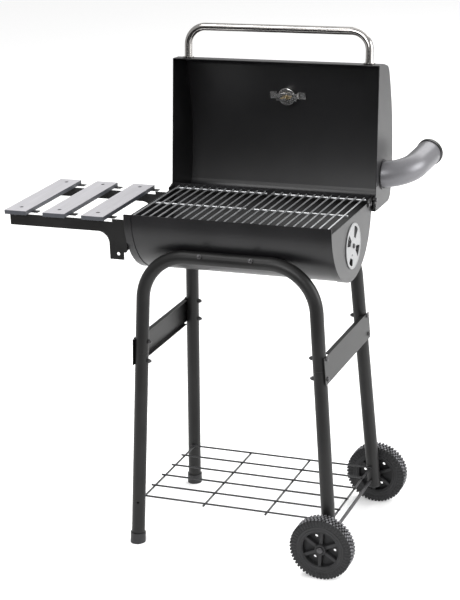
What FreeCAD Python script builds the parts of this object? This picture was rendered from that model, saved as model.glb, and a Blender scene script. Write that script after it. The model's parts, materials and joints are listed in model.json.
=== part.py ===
import FreeCAD, Part
import math
import os

import Sketcher

# Barrel charcoal grill on a tube cart, lid open. Millimetres, +X right, +Y to the back, +Z up.
# Every body is drawn about the middle of the barrel, at floor level, and then moved by the datum,
# which puts the origin under the centre of the whole grill.

Vector = FreeCAD.Vector
X_AXIS, Y_AXIS, Z_AXIS = Vector(1, 0, 0), Vector(0, 1, 0), Vector(0, 0, 1)

DRIVING_SIZES = {
    # datum
    "datum_left": 96.8, "datum_front": -66.1,
    # barrel
    "barrel_length": 506, "barrel_radius": 150, "barrel_axis_height": 808, "rim_height": 820,
    "sheet_steel": 1.5, "cap_lap": 18, "cap_gap": 0.1,
    # air vent in the right end
    "vent_forward": 2, "vent_height": 738, "vent_radius": 54, "vent_gap": 0.4,
    "window_inner": 20, "window_outer": 48, "window_angle": 34, "window_lead": 18,
    # leg frames
    "tube_radius": 16, "tube_wall": 1.5, "frame_height": 726, "frame_back": 144.5,
    "frame_bend": 112, "frame_half_top": 208.3, "leg_splay": 3.13, "frame_lean": 2.97,
    "joint_height": 487, "joint_insert": 60, "right_leg_end": 60, "left_leg_end": 3,
    "foot_radius": 18.5, "foot_sole": 3, "foot_depth": 23,
    # side braces
    "brace_low": 32, "brace_high": 33, "brace_half_length": 172, "brace_flange": 11,
    "brace_flange_half": 136, "brace_sheet": 1.5, "brace_bolt_high": 28, "brace_bolt_low": 20,
    # wheels and axle
    "wheel_radius": 75, "wheel_width": 37, "wheel_mid": 220, "axle_left": 240, "axle_radius": 4,
    "axle_half": 241, "tread_root": 71.5, "tyre_inner": 46, "boss_radius": 12, "hub_web": 5,
    "spoke_width": 5, "spoke_depth": 26, "hub_hole": 3, "hub_hole_out": 32,
    "running_gap": 0.05,
    # bottom shelf
    "shelf_height": 111, "shelf_half_long": 238, "shelf_half_deep": 158, "shelf_wire": 2.25,
    "shelf_bar": 2.5, "shelf_hook": 164,
    # hinge
    "pivot_back": 157.6, "pivot_height": 806.8, "hinge_pin": 3, "hinge_ear": 9,
    "bracket_foot": 786, "bracket_front": 118, "bracket_gap": 3.7,
    # lid
    "lid_open_angle": 97.4, "lid_width": 524, "lid_back": 28, "lid_front": 315,
    "lid_corner": 28, "lid_crown": 533, "lid_sheet": 1.5,
    "handle_radius": 9.5, "handle_half": 230, "handle_lift": 22, "handle_reach": 77,
    "handle_bend": 44, "handle_wall": 1.5,
    # chimney
    "pipe_radius": 31.5, "pipe_wall": 1.2, "pipe_bend": 84, "pipe_start": 242.5,
    "pipe_straight": 79.3, "pipe_turn": 80.7, "pipe_enter": 9, "pipe_lean": 17.7,
    "pipe_along": 53, "pipe_up": 56,
    # thermometer
    "gauge_along": 228, "gauge_up": 107.4, "gauge_tilt": 16.3, "gauge_radius": 23,
    "bezel_radius": 31,
    # grates
    "grate_height": 813, "grate_half_deep": 145, "grate_rod": 1.75, "grate_bar": 2.5,
    "grate_half_long": 118.5, "grate_mid": 124.5, "rod_pitch": 20.5,
    "coal_height": 708.6, "coal_half_deep": 108, "coal_half_long": 244, "coal_rod": 2,
    # side table
    "table_left": 565, "slat_width": 57, "slat_pitch": 101, "slat_half_deep": 150,
    "slat_thick": 10, "table_top": 810, "arm_face": 140, "arm_low": 772, "arm_left": 556,
    "arm_corner": 28, "drop_left": 298, "drop_right": 262, "drop_foot": 706, "rear_arm_face": 112,
    # fasteners
    "bolt_radius": 3, "bolt_head": 6, "bolt_head_depth": 3.5, "bolt_clearance": 0.2,
    "nut_radius": 5.6, "nut_depth": 4.5, "screw_radius": 2.2, "screw_head": 4.5,
}

doc = FreeCAD.newDocument("barrel_grill")
sheet = doc.addObject("Spreadsheet::Sheet", "Sizes")
for row, (alias, value) in enumerate(DRIVING_SIZES.items(), start=1):
    sheet.set(f"A{row}", alias)
    sheet.set(f"B{row}", str(value))
    sheet.setAlias(f"B{row}", alias)
doc.recompute()

nodes = []
hex_nuts = []


class Size:
    """A number together with the spreadsheet expression that gives it."""

    def __init__(self, number, text):
        self.number, self.text = number, text

    def _join(self, sign, other, number):
        return Size(number, f"({self.text} {sign} {as_size(other).text})")

    def __add__(self, other):
        return self._join("+", other, self.number + as_size(other).number)

    def __sub__(self, other):
        return self._join("-", other, self.number - as_size(other).number)

    def __mul__(self, other):
        return self._join("*", other, self.number * as_size(other).number)

    def __truediv__(self, other):
        return self._join("/", other, self.number / as_size(other).number)

    def __radd__(self, other):
        return as_size(other) + self

    def __rsub__(self, other):
        return as_size(other) - self

    def __rmul__(self, other):
        return as_size(other) * self

    def __neg__(self):
        return Size(-self.number, f"(0 - {self.text})")

    def __float__(self):
        return float(self.number)


def as_size(value):
    return value if isinstance(value, Size) else Size(value, str(value))


class Sheet:
    """Each driving size under its own name, as in size.rim_height."""

    def __getattr__(self, alias):
        return Size(DRIVING_SIZES[alias], f"Sizes.{alias}")


def sine(angle):
    return Size(math.sin(math.radians(float(angle))), f"sin({as_size(angle).text})")


def cosine(angle):
    return Size(math.cos(math.radians(float(angle))), f"cos({as_size(angle).text})")


def tangent(angle):
    return Size(math.tan(math.radians(float(angle))), f"tan({as_size(angle).text})")


size = Sheet()
skin = size.sheet_steel


# ---------------------------------------------------------------- building blocks

def bind(thing, name, value):
    """Set a property and, when it comes from the sheet, bind it to its expression."""
    value = as_size(value)
    if "Sizes." in value.text:
        thing.setExpression(name, value.text)
    elif "." not in name and "[" not in name:
        setattr(thing, name, value.number)


def frame(x=0, y=0, z=0, axis=Z_AXIS, angle=0):
    return FreeCAD.Placement(Vector(float(x), float(y), float(z)),
                             FreeCAD.Rotation(axis, float(angle)))


DATUM = frame(size.datum_left, size.datum_front)


def new_body(name):
    made = doc.addObject("PartDesign::Body", name)
    made.Label = name
    return made


def add_sketch(body, role, offset=0):
    """A sketch on one of the body's own planes, moved along its normal."""
    made = body.newObject("Sketcher::SketchObject", body.Name + "_sketch")
    plane = next(item for item in body.Origin.OriginFeatures if item.Role == role)
    made.AttachmentSupport = (plane, [""])
    made.MapMode = "FlatFace"
    made.AttachmentOffset = frame(0, 0, offset)
    bind(made, "AttachmentOffset.Base.z", offset)
    return made


def fix_point(made, geometry, end, point):
    for kind, value in zip(("DistanceX", "DistanceY"), point):
        index = made.addConstraint(Sketcher.Constraint(kind, -1, 1, geometry, end, float(value)))
        bind(made, f"Constraints[{index}]", value)


def circle(made, x, y, radius):
    centre = Vector(float(x), float(y), 0)
    index = made.addGeometry(Part.Circle(centre, Z_AXIS, float(radius)))
    fix_point(made, index, 3, (x, y))
    held = made.addConstraint(Sketcher.Constraint("Radius", index, float(radius)))
    bind(made, f"Constraints[{held}]", radius)


def arc_between(start, end, radius):
    """The minor arc from start to end; a positive radius turns left, a negative one right."""
    turn = 1 if float(radius) > 0 else -1
    chord = end - start
    left = Vector(-chord.y, chord.x, 0).normalize() * turn
    reach = abs(float(radius))
    centre = (start + end) * 0.5 + left * math.sqrt(reach ** 2 - chord.Length ** 2 / 4)
    first, last = (start, end) if turn > 0 else (end, start)
    angles = [math.atan2(point.y - centre.y, point.x - centre.x) for point in (first, last)]
    return Part.ArcOfCircle(Part.Circle(centre, Z_AXIS, reach), *angles)


def chain(made, corners, closed=True):
    """Lines and arcs through the corners; a corner's third value is the radius of the arc
    that leaves it."""
    points = [Vector(float(corner[0]), float(corner[1]), 0) for corner in corners]
    count = len(corners) if closed else len(corners) - 1
    ends = []
    for number in range(count):
        start, end = points[number], points[(number + 1) % len(points)]
        radius = corners[number][2] if len(corners[number]) == 3 else None
        if radius is None:
            ends.append((made.addGeometry(Part.LineSegment(start, end)), 1, 2))
            continue
        index = made.addGeometry(arc_between(start, end, radius))
        ends.append((index, 1, 2) if float(radius) > 0 else (index, 2, 1))
        held = made.addConstraint(Sketcher.Constraint("Radius", index, abs(float(radius))))
        bind(made, f"Constraints[{held}]", radius if float(radius) > 0 else -radius)
    for number in range(count if closed else count - 1):
        here, after = ends[number], ends[(number + 1) % count]
        made.addConstraint(Sketcher.Constraint("Coincident", here[0], here[2], after[0], after[1]))
    for number in range(count):
        fix_point(made, ends[number][0], ends[number][1], corners[number][:2])
    if not closed:
        fix_point(made, ends[-1][0], ends[-1][2], corners[-1][:2])


def rectangle(made, left, low, right, high):
    chain(made, [(left, low), (right, low), (right, high), (left, high)])


def pad(body, made, length, backwards=False):
    feature = body.newObject("PartDesign::Pad", body.Name + "_pad")
    feature.Profile = made
    feature.Reversed = backwards
    bind(feature, "Length", length)
    return feature


def pocket(body, made, length, backwards=False):
    """Cut along the sketch's own normal, and fail if nothing was taken away."""
    doc.recompute()
    before = body.Shape.Volume
    feature = body.newObject("PartDesign::Pocket", body.Name + "_pocket")
    feature.Profile = made
    feature.Reversed = not backwards
    bind(feature, "Length", length)
    doc.recompute()
    if body.Shape.Volume > before - 0.01:
        raise RuntimeError(f"{body.Label}: a pocket cut nothing")
    return feature


def pipe(body, profile, path):
    feature = body.newObject("PartDesign::AdditivePipe", body.Name + "_pipe")
    feature.Profile = profile
    feature.Spine = (path, [""])
    return feature


def finish(thing, label, where=FreeCAD.Placement()):
    """Name a finished sub-part and put it in its place under the datum."""
    thing.Placement = DATUM.multiply(where).multiply(thing.Placement)
    thing.Label = label
    nodes.append(thing)
    return thing


def rod(name, where, radius, length):
    """A round bar that starts at the frame's origin and runs along its Z."""
    made = doc.addObject("Part::Cylinder", name)
    bind(made, "Radius", radius)
    bind(made, "Height", length)
    made.Placement = where
    return made


def join(name, pieces):
    made = doc.addObject("Part::MultiFuse", name)
    made.Shapes = pieces
    return made


def group(name, pieces):
    made = doc.addObject("Part::Compound", name)
    made.Links = pieces
    return made


def cut(name, base, tools):
    made = doc.addObject("Part::Cut", name)
    made.Base = base
    made.Tool = tools[0] if len(tools) == 1 else group(name + "_tools", tools)
    return made


def shifted(where, distance):
    return where.multiply(frame(0, 0, distance))


def bolt(name, where, grip, radius, head, head_depth):
    """Head below the frame's origin, shank along its Z."""
    shank = rod(name + "_shank", where, radius, grip)
    cap = rod(name + "_head", shifted(where, -head_depth), head, head_depth)
    return join(name, [shank, cap])


def nut(name, where, bore):
    block = doc.addObject("Part::Prism", name + "_block")
    block.Polygon = 6
    bind(block, "Circumradius", size.nut_radius)
    bind(block, "Height", size.nut_depth)
    block.Placement = where
    hole = rod(name + "_bore", shifted(where, -1), bore + size.running_gap, size.nut_depth + 2)
    return cut(name, block, [hole])


def drills(name, frames, radius, length, back=2):
    return [rod(f"{name}_drill", shifted(where, -back), radius, length + back)
            for where in frames]


# ---------------------------------------------------------------- barrel

def half_drum(body, outer, start, length, inner=None):
    """A trough along X: half a round with straight walls up to the rim. Solid without inner."""
    axis, rim = size.barrel_axis_height, size.rim_height
    ring = add_sketch(body, "YZ_Plane", start)
    circle(ring, 0, axis, outer)
    if inner is not None:
        circle(ring, 0, axis, inner)
    pad(body, ring, length)
    upper = add_sketch(body, "YZ_Plane", start)
    rectangle(upper, -outer - 1, axis, outer + 1, axis + outer + 1)
    pocket(body, upper, length)
    walls = add_sketch(body, "YZ_Plane", start)
    if inner is None:
        rectangle(walls, -outer, axis, outer, rim)
    else:
        rectangle(walls, -outer, axis, -inner, rim)
        rectangle(walls, inner, axis, outer, rim)
    pad(body, walls, length)


def barrel_bolt_frames():
    """Where the leg frames are bolted to the barrel: along the barrel's own radii."""
    drop = size.barrel_axis_height - size.frame_height
    angle = math.degrees(math.atan2(float(drop), float(size.frame_back)))
    frames = []
    for side in (-1, 1):
        for x in (-62.5, 62.5):
            turn = FreeCAD.Rotation(X_AXIS, -side * (90 - angle))
            inward = FreeCAD.Placement(Vector(x, side * float(size.frame_back),
                                              float(size.frame_height)), turn)
            frames.append(shifted(inward, -size.tube_radius))
    return frames


def barrel_shell():
    body = new_body("shell_sheet")
    half = size.barrel_length / 2 - skin
    half_drum(body, size.barrel_radius, -half, half * 2, size.barrel_radius - skin)
    holes = drills("shell", barrel_bolt_frames(), size.bolt_radius + size.bolt_clearance, 60)
    finish(cut("barrel_shell", body, holes), "barrel_shell")


def sector(made, centre_y, centre_z, middle, width, inner, outer):
    """A window of the air vent: a piece of a ring about the vent's centre."""
    low, high = middle - width / 2, middle + width / 2
    spot = [(centre_y + radius * cosine(angle), centre_z + radius * sine(angle))
            for radius, angle in ((inner, low), (outer, low), (outer, high), (inner, high))]
    chain(made, [spot[0], (*spot[1], outer), spot[2], (*spot[3], -inner)])


def vent_windows(body, offset, lead):
    made = add_sketch(body, "YZ_Plane", offset)
    for turn in range(4):
        sector(made, size.vent_forward, size.vent_height, 50 + 90 * turn + lead,
               size.window_angle, size.window_inner, size.window_outer)
    circle(made, size.vent_forward, size.vent_height, size.bolt_radius + size.running_gap)
    pocket(body, made, skin)


def hinge_rivet_frames(side):
    turn = FreeCAD.Rotation(Y_AXIS, -90 * side)
    start = side * float(size.barrel_length / 2 + skin + 0.1)
    return [FreeCAD.Placement(Vector(start, y, 802), turn) for y in (126, 140)]


def table_bolt_frames():
    """Two bolts through each table arm's flange and the barrel's left end."""
    turn = FreeCAD.Rotation(Y_AXIS, 90)
    start = -float(size.barrel_length / 2 + skin + 0.1)
    return [FreeCAD.Placement(Vector(start, y, z), turn)
            for y in (-125, 99) for z in (745, 785)]


def barrel_end(side, label):
    body = new_body(label + "_cap")
    half = size.barrel_length / 2
    outer = size.barrel_radius + size.cap_gap + skin
    plate, lap = (-half, -half) if side < 0 else (half - skin, half - size.cap_lap)
    half_drum(body, outer, plate, skin)
    half_drum(body, outer, lap, size.cap_lap, size.barrel_radius + size.cap_gap)
    if side > 0:
        vent_windows(body, plate, size.window_lead)
    where = hinge_rivet_frames(side)
    holes = drills(label, where, size.screw_radius + size.bolt_clearance, 12)
    if side < 0:
        holes += drills(label, table_bolt_frames(), size.bolt_radius + size.bolt_clearance, 12)
    finish(cut(label, body, holes), label)


def grate_rail(side):
    """An angle strip inside the barrel that the cooking grates rest on."""
    body = new_body("rail_strip")
    half = size.barrel_length / 2 - skin - 1.5
    top = size.grate_height - size.grate_rod - size.grate_bar * 2 - 0.3
    made = add_sketch(body, "YZ_Plane", -half)
    near, root, wall = 136 * side, 147.6 * side, 148.4 * side
    low = top - 11
    corners = [(near, top - skin), (root - 1.5 * side, top - skin), (root - 1.5 * side, low),
               (root, low), (root, top - skin), (wall, top - skin), (wall, top),
               (near, top)]
    chain(made, corners)
    pad(body, made, half * 2)
    return body


def vent_disc():
    body = new_body("vent_disc")
    face = size.barrel_length / 2 + size.vent_gap
    made = add_sketch(body, "YZ_Plane", face)
    circle(made, size.vent_forward, size.vent_height, size.vent_radius)
    pad(body, made, skin)
    vent_windows(body, face, 0)
    edge = add_sketch(body, "YZ_Plane", face + skin)
    circle(edge, size.vent_forward, size.vent_height, size.vent_radius)
    circle(edge, size.vent_forward, size.vent_height, size.vent_radius - 2.5)
    pad(body, edge, 1)
    finish(body, "vent_disc")


def vent_screw():
    turn = FreeCAD.Rotation(Y_AXIS, -90)
    outside = size.barrel_length / 2 + size.vent_gap + skin + 0.4
    where = FreeCAD.Placement(Vector(float(outside), float(size.vent_forward),
                                     float(size.vent_height)), turn)
    finish(bolt("vent_screw", where, 13, size.bolt_radius, size.bolt_head, 3), "vent_screw")
    inside = shifted(where, size.vent_gap + skin * 2 + 0.5)
    hex_nuts.append(nut("vent_nut", inside, size.bolt_radius))


# ---------------------------------------------------------------- leg frames

def frame_place(side):
    """The plane of a leg frame: through its top run, leaning outwards below it."""
    return frame(0, size.frame_back * side, size.frame_height, X_AXIS, size.frame_lean * side)


def leg_x(drop):
    return size.frame_half_top + drop * tangent(size.leg_splay)


JOINT_DROP = (size.frame_height - size.joint_height) / cosine(size.frame_lean)


def leg_place(side, hand):
    """Along one leg's own axis: Z up the leg, origin at the joint with the upper tube."""
    joint = frame(leg_x(JOINT_DROP) * hand, 0, -JOINT_DROP, Y_AXIS, -size.leg_splay * hand)
    return frame_place(side).multiply(joint)


def brace_bolt_frames(hand):
    """Through the brace and the leg, from outside: two bolts in each leg."""
    frames = []
    turn = FreeCAD.Placement(Vector(0, 0, 0), FreeCAD.Rotation(Y_AXIS, -90 * hand))
    start = size.tube_radius + size.brace_sheet + 0.4
    for side in (-1, 1):
        for up in (size.brace_bolt_high, -size.brace_bolt_low):
            centre = leg_place(side, hand).multVec(Vector(0, 0, float(up)))
            along = brace_place(hand).inverse().multVec(centre)
            spot = frame(start * hand, along.y, along.z)
            frames.append(brace_place(hand).multiply(spot).multiply(turn))
    return frames


def brace_place(hand):
    """The side brace stands upright along the legs' slope, half way between front and back."""
    return frame(leg_x(JOINT_DROP) * hand, 0, size.joint_height, Y_AXIS, -size.leg_splay * hand)


def leg_frame(side, label):
    body = new_body(label + "_tube")
    reach = size.frame_bend * tangent((90 - size.leg_splay) / 2)
    top = size.frame_half_top
    below = reach * cosine(size.leg_splay)
    bent = top + reach * sine(size.leg_splay)
    foot = leg_x(JOINT_DROP)
    path = add_sketch(body, "XZ_Plane")
    chain(path, [(foot, -JOINT_DROP), (bent, -below, size.frame_bend), (top - reach, 0),
                 (reach - top, 0, size.frame_bend), (-bent, -below), (-foot, -JOINT_DROP)],
          closed=False)
    profile = add_sketch(body, "XY_Plane")
    profile.AttachmentOffset = frame(foot, 0, -JOINT_DROP, Y_AXIS, -size.leg_splay)
    circle(profile, 0, 0, size.tube_radius)
    circle(profile, 0, 0, size.tube_radius - size.tube_wall)
    pipe(body, profile, path)
    body.Placement = frame_place(side)
    holes = [where for where in barrel_bolt_frames() if where.Base.y * side > 0]
    tools = drills(label, holes, size.bolt_radius + size.bolt_clearance, 50)
    for hand in (-1, 1):
        through = [where for where in brace_bolt_frames(hand) if where.Base.y * side > 0]
        tools += drills(label, through, size.bolt_radius + size.bolt_clearance, 50)
    finish(cut(label, body, tools), label)


def lower_leg(side, hand, end_height, label):
    """The lower tube, with a drawn-down end that fits inside the upper one."""
    length = (size.joint_height - end_height) / (cosine(size.frame_lean) * cosine(size.leg_splay))
    body = new_body(label + "_tube")
    made = add_sketch(body, "XY_Plane", -length)
    circle(made, 0, 0, size.tube_radius)
    circle(made, 0, 0, size.tube_radius - size.tube_wall)
    pad(body, made, length - 0.2)
    bore = size.tube_radius - size.tube_wall
    for start, outer, reach in ((-8, bore, 7.8), (-1, bore - 0.1, size.joint_insert)):
        neck = add_sketch(body, "XY_Plane", start)
        circle(neck, 0, 0, outer)
        circle(neck, 0, 0, bore - 0.1 - size.tube_wall)
        pad(body, neck, reach)
    body.Placement = leg_place(side, hand)
    through = [where for where in brace_bolt_frames(hand) if where.Base.y * side > 0]
    tools = drills(label, through, size.bolt_radius + size.bolt_clearance, 50)
    if hand > 0:
        tools += [axle_bar(label + "_axle_hole", size.axle_radius + size.running_gap * 2)]
    hook = frame(size.shelf_half_long * hand, -200, size.shelf_height - size.shelf_bar,
                 X_AXIS, -90)
    tools += [rod(label + "_hook_hole", hook, size.shelf_bar + 0.2, 400)]
    finish(cut(label, body, tools), label)


def foot_cap(side, label):
    """A cup over the end of a left leg, cut flat where it stands."""
    place = leg_place(side, -1)
    length = (size.joint_height - size.left_leg_end) / (
        cosine(size.frame_lean) * cosine(size.leg_splay))
    cup = rod(label + "_cup", shifted(place, -length - 8), size.foot_radius, size.foot_depth + 8)
    well = rod(label + "_well", shifted(place, -length - 0.1), size.tube_radius + 0.1,
               size.foot_depth + 20)
    floor = doc.addObject("Part::Box", label + "_floor")
    for name, value in (("Length", 120), ("Width", 120), ("Height", 40)):
        bind(floor, name, value)
    floor.Placement = frame(place.Base.x - 60 - 25, place.Base.y - 60 + 25 * side, -40)
    finish(cut(label, cup, [well, floor]), label)


def leg_plug(side):
    """A flat plug in the open end of a right leg."""
    label = "right_leg_plug"
    place = leg_place(side, 1)
    length = (size.joint_height - size.right_leg_end) / (
        cosine(size.frame_lean) * cosine(size.leg_splay))
    stem = rod(label + "_stem", shifted(place, -length + 0.1), size.tube_radius - 1.6, 8)
    cap = rod(label + "_cap", shifted(place, -length - 2.9), size.tube_radius, 2.7)
    neck = rod(label + "_neck", shifted(place, -length - 1), size.tube_radius - 1.6, 3)
    return join(label, [stem, neck, cap])


def side_brace(hand, label):
    body = new_body(label + "_channel")
    web = size.tube_radius + 0.2
    low, high = -size.brace_low, size.brace_high
    side = add_sketch(body, "YZ_Plane", web * hand)
    rectangle(side, -size.brace_half_length, low, size.brace_half_length, high)
    pad(body, side, size.brace_sheet, backwards=hand < 0)
    for edge, inset in ((low, 0), (high, -size.brace_sheet)):
        lip = add_sketch(body, "YZ_Plane", (web + size.brace_sheet) * hand)
        rectangle(lip, -size.brace_flange_half, edge + inset, size.brace_flange_half,
                  edge + inset + size.brace_sheet)
        pad(body, lip, size.brace_flange, backwards=hand > 0)
    body.Placement = brace_place(hand)
    tools = drills(label, brace_bolt_frames(hand), size.bolt_radius + size.bolt_clearance, 8)
    finish(cut(label, body, tools), label)


def frame_fasteners():
    tube = size.tube_radius * 2
    grip = tube + skin + 12
    bolts = []
    for number, where in enumerate(barrel_bolt_frames()):
        start = shifted(where, -0.3)
        bolts.append(bolt(f"frame_bolt_{number}", start, grip, size.bolt_radius, size.bolt_head,
                          size.bolt_head_depth))
        hex_nuts.append(nut(f"frame_nut_{number}", shifted(where, tube + skin + 0.6),
                            size.bolt_radius))
    finish(group("frame_bolts", bolts), "frame_bolts")


def brace_fasteners():
    bolts = []
    through = size.tube_radius * 2 + size.brace_sheet + 0.8
    for hand in (-1, 1):
        for number, where in enumerate(brace_bolt_frames(hand)):
            tag = f"{'left' if hand < 0 else 'right'}_{number}"
            bolts.append(bolt("brace_bolt_" + tag, where, through + 8, size.bolt_radius,
                              size.bolt_head, size.bolt_head_depth))
            hex_nuts.append(nut("brace_nut_" + tag, shifted(where, through), size.bolt_radius))
    finish(group("brace_bolts", bolts), "brace_bolts")


# ---------------------------------------------------------------- wheels

def axle_bar(name, radius):
    where = frame(size.axle_left, -size.axle_half, size.wheel_radius, X_AXIS, -90)
    return rod(name, where, radius, size.axle_half * 2)


def wheel_place(side):
    return frame(size.axle_left, size.wheel_mid * side, size.wheel_radius)


def polar(body, feature, count):
    pattern = body.newObject("PartDesign::PolarPattern", body.Name + "_around")
    pattern.Originals = [feature]
    pattern.Axis = (feature.Profile[0], ["N_Axis"])
    pattern.Angle = 360
    pattern.Occurrences = count
    body.Tip = pattern


def disc(body, outer, inner, width):
    """A ring about the axle, centred on the wheel's middle plane."""
    made = add_sketch(body, "XZ_Plane", -width / 2)
    circle(made, 0, 0, outer)
    circle(made, 0, 0, inner)
    return pad(body, made, width)


def wheel_hub(side, label):
    body = new_body(label)
    bore = size.axle_radius + size.running_gap
    disc(body, size.boss_radius, bore, size.wheel_width + 1)
    disc(body, size.tyre_inner, bore, size.hub_web)
    disc(body, size.tyre_inner, size.tyre_inner - 3, size.wheel_width - 3)
    spoke = add_sketch(body, "XZ_Plane", -size.spoke_depth / 2)
    half = size.spoke_width / 2
    rectangle(spoke, -half, size.boss_radius - 2, half, size.tyre_inner - 1)
    polar(body, pad(body, spoke, size.spoke_depth), 6)
    for turn in range(6):
        angle = 60 * turn
        hole = add_sketch(body, "XZ_Plane", -size.hub_web)
        circle(hole, size.hub_hole_out * cosine(angle), size.hub_hole_out * sine(angle),
               size.hub_hole)
        pocket(body, hole, size.hub_web * 2)
    finish(body, label, wheel_place(side))


def wheel_tyre(side, label):
    body = new_body(label)
    disc(body, size.tread_root, size.tyre_inner + 0.1, size.wheel_width)
    block = add_sketch(body, "XZ_Plane", -size.wheel_width / 2)
    step = 4.2
    low, high = size.tread_root * cosine(step) - 1, size.wheel_radius * cosine(step)
    reach, root = size.wheel_radius * sine(step), size.tread_root * sine(step)
    chain(block, [(-reach, -high, size.wheel_radius), (reach, -high), (root, -low), (-root, -low)])
    polar(body, pad(body, block, size.wheel_width), 24)
    finish(body, label, wheel_place(side))


def axle():
    finish(axle_bar("axle", size.axle_radius), "axle")
    caps = []
    for side in (-1, 1):
        start = frame(size.axle_left, (size.axle_half - 1.5) * side, size.wheel_radius,
                      X_AXIS, -90 * side)
        cap = rod(f"axle_cap_{side + 1}", start, 7.5, 3.5)
        hole = rod(f"axle_cap_bore_{side + 1}", shifted(start, -1), size.axle_radius + 0.05, 2.6)
        caps.append(cut(f"axle_cup_{side + 1}", cap, [hole]))
    finish(group("axle_caps", caps), "axle_caps")


# ---------------------------------------------------------------- bottom shelf and grates

def wire(name, along, start, reach, radius):
    """A straight wire from start, reach long, along X or Y."""
    turn = FreeCAD.Rotation(Y_AXIS, 90) if along == "X" else FreeCAD.Rotation(X_AXIS, -90)
    spot = Vector(*[float(value) for value in start])
    return rod(name, FreeCAD.Placement(spot, turn), radius, reach)


def bottom_shelf():
    wires = []
    long_half, deep_half = size.shelf_half_long, size.shelf_half_deep
    upper = size.shelf_height + size.shelf_wire - 0.2
    for number in range(6):
        y = -deep_half + deep_half * 2 * number / 5
        wires.append(wire("shelf_wire", "X", (-long_half - 6, y, upper),
                          long_half * 2 + 12, size.shelf_wire))
    for number in range(4):
        x = -long_half + long_half * 2 * number / 3
        end = size.shelf_hook if number in (0, 3) else deep_half + 5
        wires.append(wire("shelf_bar", "Y", (x, -end, size.shelf_height - size.shelf_bar),
                          end * 2, size.shelf_bar))
    finish(join("bottom_shelf", wires), "bottom_shelf")


def cooking_grate(hand, label):
    wires = []
    bar_height = size.grate_height - size.grate_rod - size.grate_bar + 0.2
    for number in range(12):
        x = size.grate_mid * hand + size.rod_pitch * (number - 5.5)
        wires.append(wire("grate_rod", "Y", (x, -size.grate_half_deep, size.grate_height),
                          size.grate_half_deep * 2, size.grate_rod))
    start = size.grate_mid * hand - size.grate_half_long
    for y in (-141, 0, 141):
        wires.append(wire("grate_bar", "X", (start, y, bar_height), size.grate_half_long * 2,
                          size.grate_bar))
    finish(join(label, wires), label)


def charcoal_grate():
    wires = []
    bar_height = size.coal_height - size.coal_rod - size.grate_bar + 0.2
    for number in range(25):
        x = 19.5 * (number - 12)
        wires.append(wire("coal_rod", "Y", (x, -size.coal_half_deep, size.coal_height),
                          size.coal_half_deep * 2, size.coal_rod))
    for y in (-78, 78):
        wires.append(wire("coal_bar", "X", (-size.coal_half_long, y, bar_height),
                          size.coal_half_long * 2, size.grate_bar))
    finish(join("charcoal_grate", wires), "charcoal_grate")


# ---------------------------------------------------------------- hinge and lid

def hinge_bracket(side, label):
    """A small clevis on the barrel's rear corner: two ears with a web under the pin."""
    body = new_body(label + "_clevis")
    start = (size.barrel_length / 2 + 0.1) * side
    y, z = size.pivot_back, size.pivot_height
    outer = start + (skin + size.bracket_gap) * side
    back = side < 0
    for place in (start, outer):
        eye = add_sketch(body, "YZ_Plane", place)
        circle(eye, y, z, size.hinge_ear)
        pad(body, eye, skin, backwards=back)
        leg = add_sketch(body, "YZ_Plane", place)
        rectangle(leg, y - size.hinge_ear, size.bracket_foot, y + size.hinge_ear, z)
        pad(body, leg, skin, backwards=back)
        if place is start:
            arm = add_sketch(body, "YZ_Plane", place)
            rectangle(arm, size.bracket_front, z - size.hinge_ear, y, z + size.hinge_ear)
            pad(body, arm, skin, backwards=back)
            web = add_sketch(body, "YZ_Plane", place)
            rectangle(web, y - size.hinge_ear, size.bracket_foot, y + size.hinge_ear,
                      size.bracket_foot + skin)
            pad(body, web, skin * 2 + size.bracket_gap, backwards=back)
    pin_hole = rod(label + "_eye", frame(240 * side, y, z, Y_AXIS, 90 * side),
                   size.hinge_pin + size.running_gap, 40)
    rivets = drills(label, hinge_rivet_frames(side), size.screw_radius + size.bolt_clearance, 12)
    finish(cut(label, body, [pin_hole] + rivets), label)


def hinge_pins():
    pins, rivets = [], []
    for side in (-1, 1):
        start = frame(249.5 * side, size.pivot_back, size.pivot_height, Y_AXIS, 90 * side)
        shank = rod("pin_shank", start, size.hinge_pin, 14)
        inner = rod("pin_foot", start, 4.5, 3.2)
        outer = rod("pin_head", shifted(start, 13), 5.5, 3)
        pins.append(join(f"hinge_pin_{side + 1}", [shank, inner, outer]))
        for number, where in enumerate(hinge_rivet_frames(side)):
            rivets.append(bolt(f"hinge_rivet_{side + 1}_{number}", shifted(where, -0.2), 4.5,
                               size.screw_radius, size.screw_head, 1.8))
    finish(group("hinge_pins", pins), "hinge_pins")
    finish(group("hinge_rivets", rivets), "hinge_rivets")


def lid_place():
    return frame(0, size.pivot_back, size.pivot_height, X_AXIS, -size.lid_open_angle)


def lid_solid(name, start, width):
    """The lid's end profile, as wide as asked, drawn about the hinge with the lid shut."""
    body = new_body(name)
    made = add_sketch(body, "YZ_Plane", start)
    back, front = size.lid_back, -size.lid_front
    corners = [(back, 0), (front, 0), (front - 2.4, 34.7), (front + 5, 77.5, -size.lid_crown),
               (back - 14.5, 121)]
    chain(made, corners)
    block = pad(body, made, width)
    doc.recompute()
    long_edges = [f"Edge{number}" for number, edge in enumerate(block.Shape.Edges, start=1)
                  if abs(edge.Length - float(width)) < 1e-3 and edge.CenterOfMass.z > 60]
    rounding = body.newObject("PartDesign::Fillet", name + "_round")
    rounding.Base = (block, long_edges)
    bind(rounding, "Radius", size.lid_corner)
    doc.recompute()
    return body, rounding


def gauge_place():
    """On the lid's crown, Z outwards."""
    return lid_place().multiply(frame(0, -size.gauge_along, size.gauge_up, X_AXIS, size.gauge_tilt))


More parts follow.
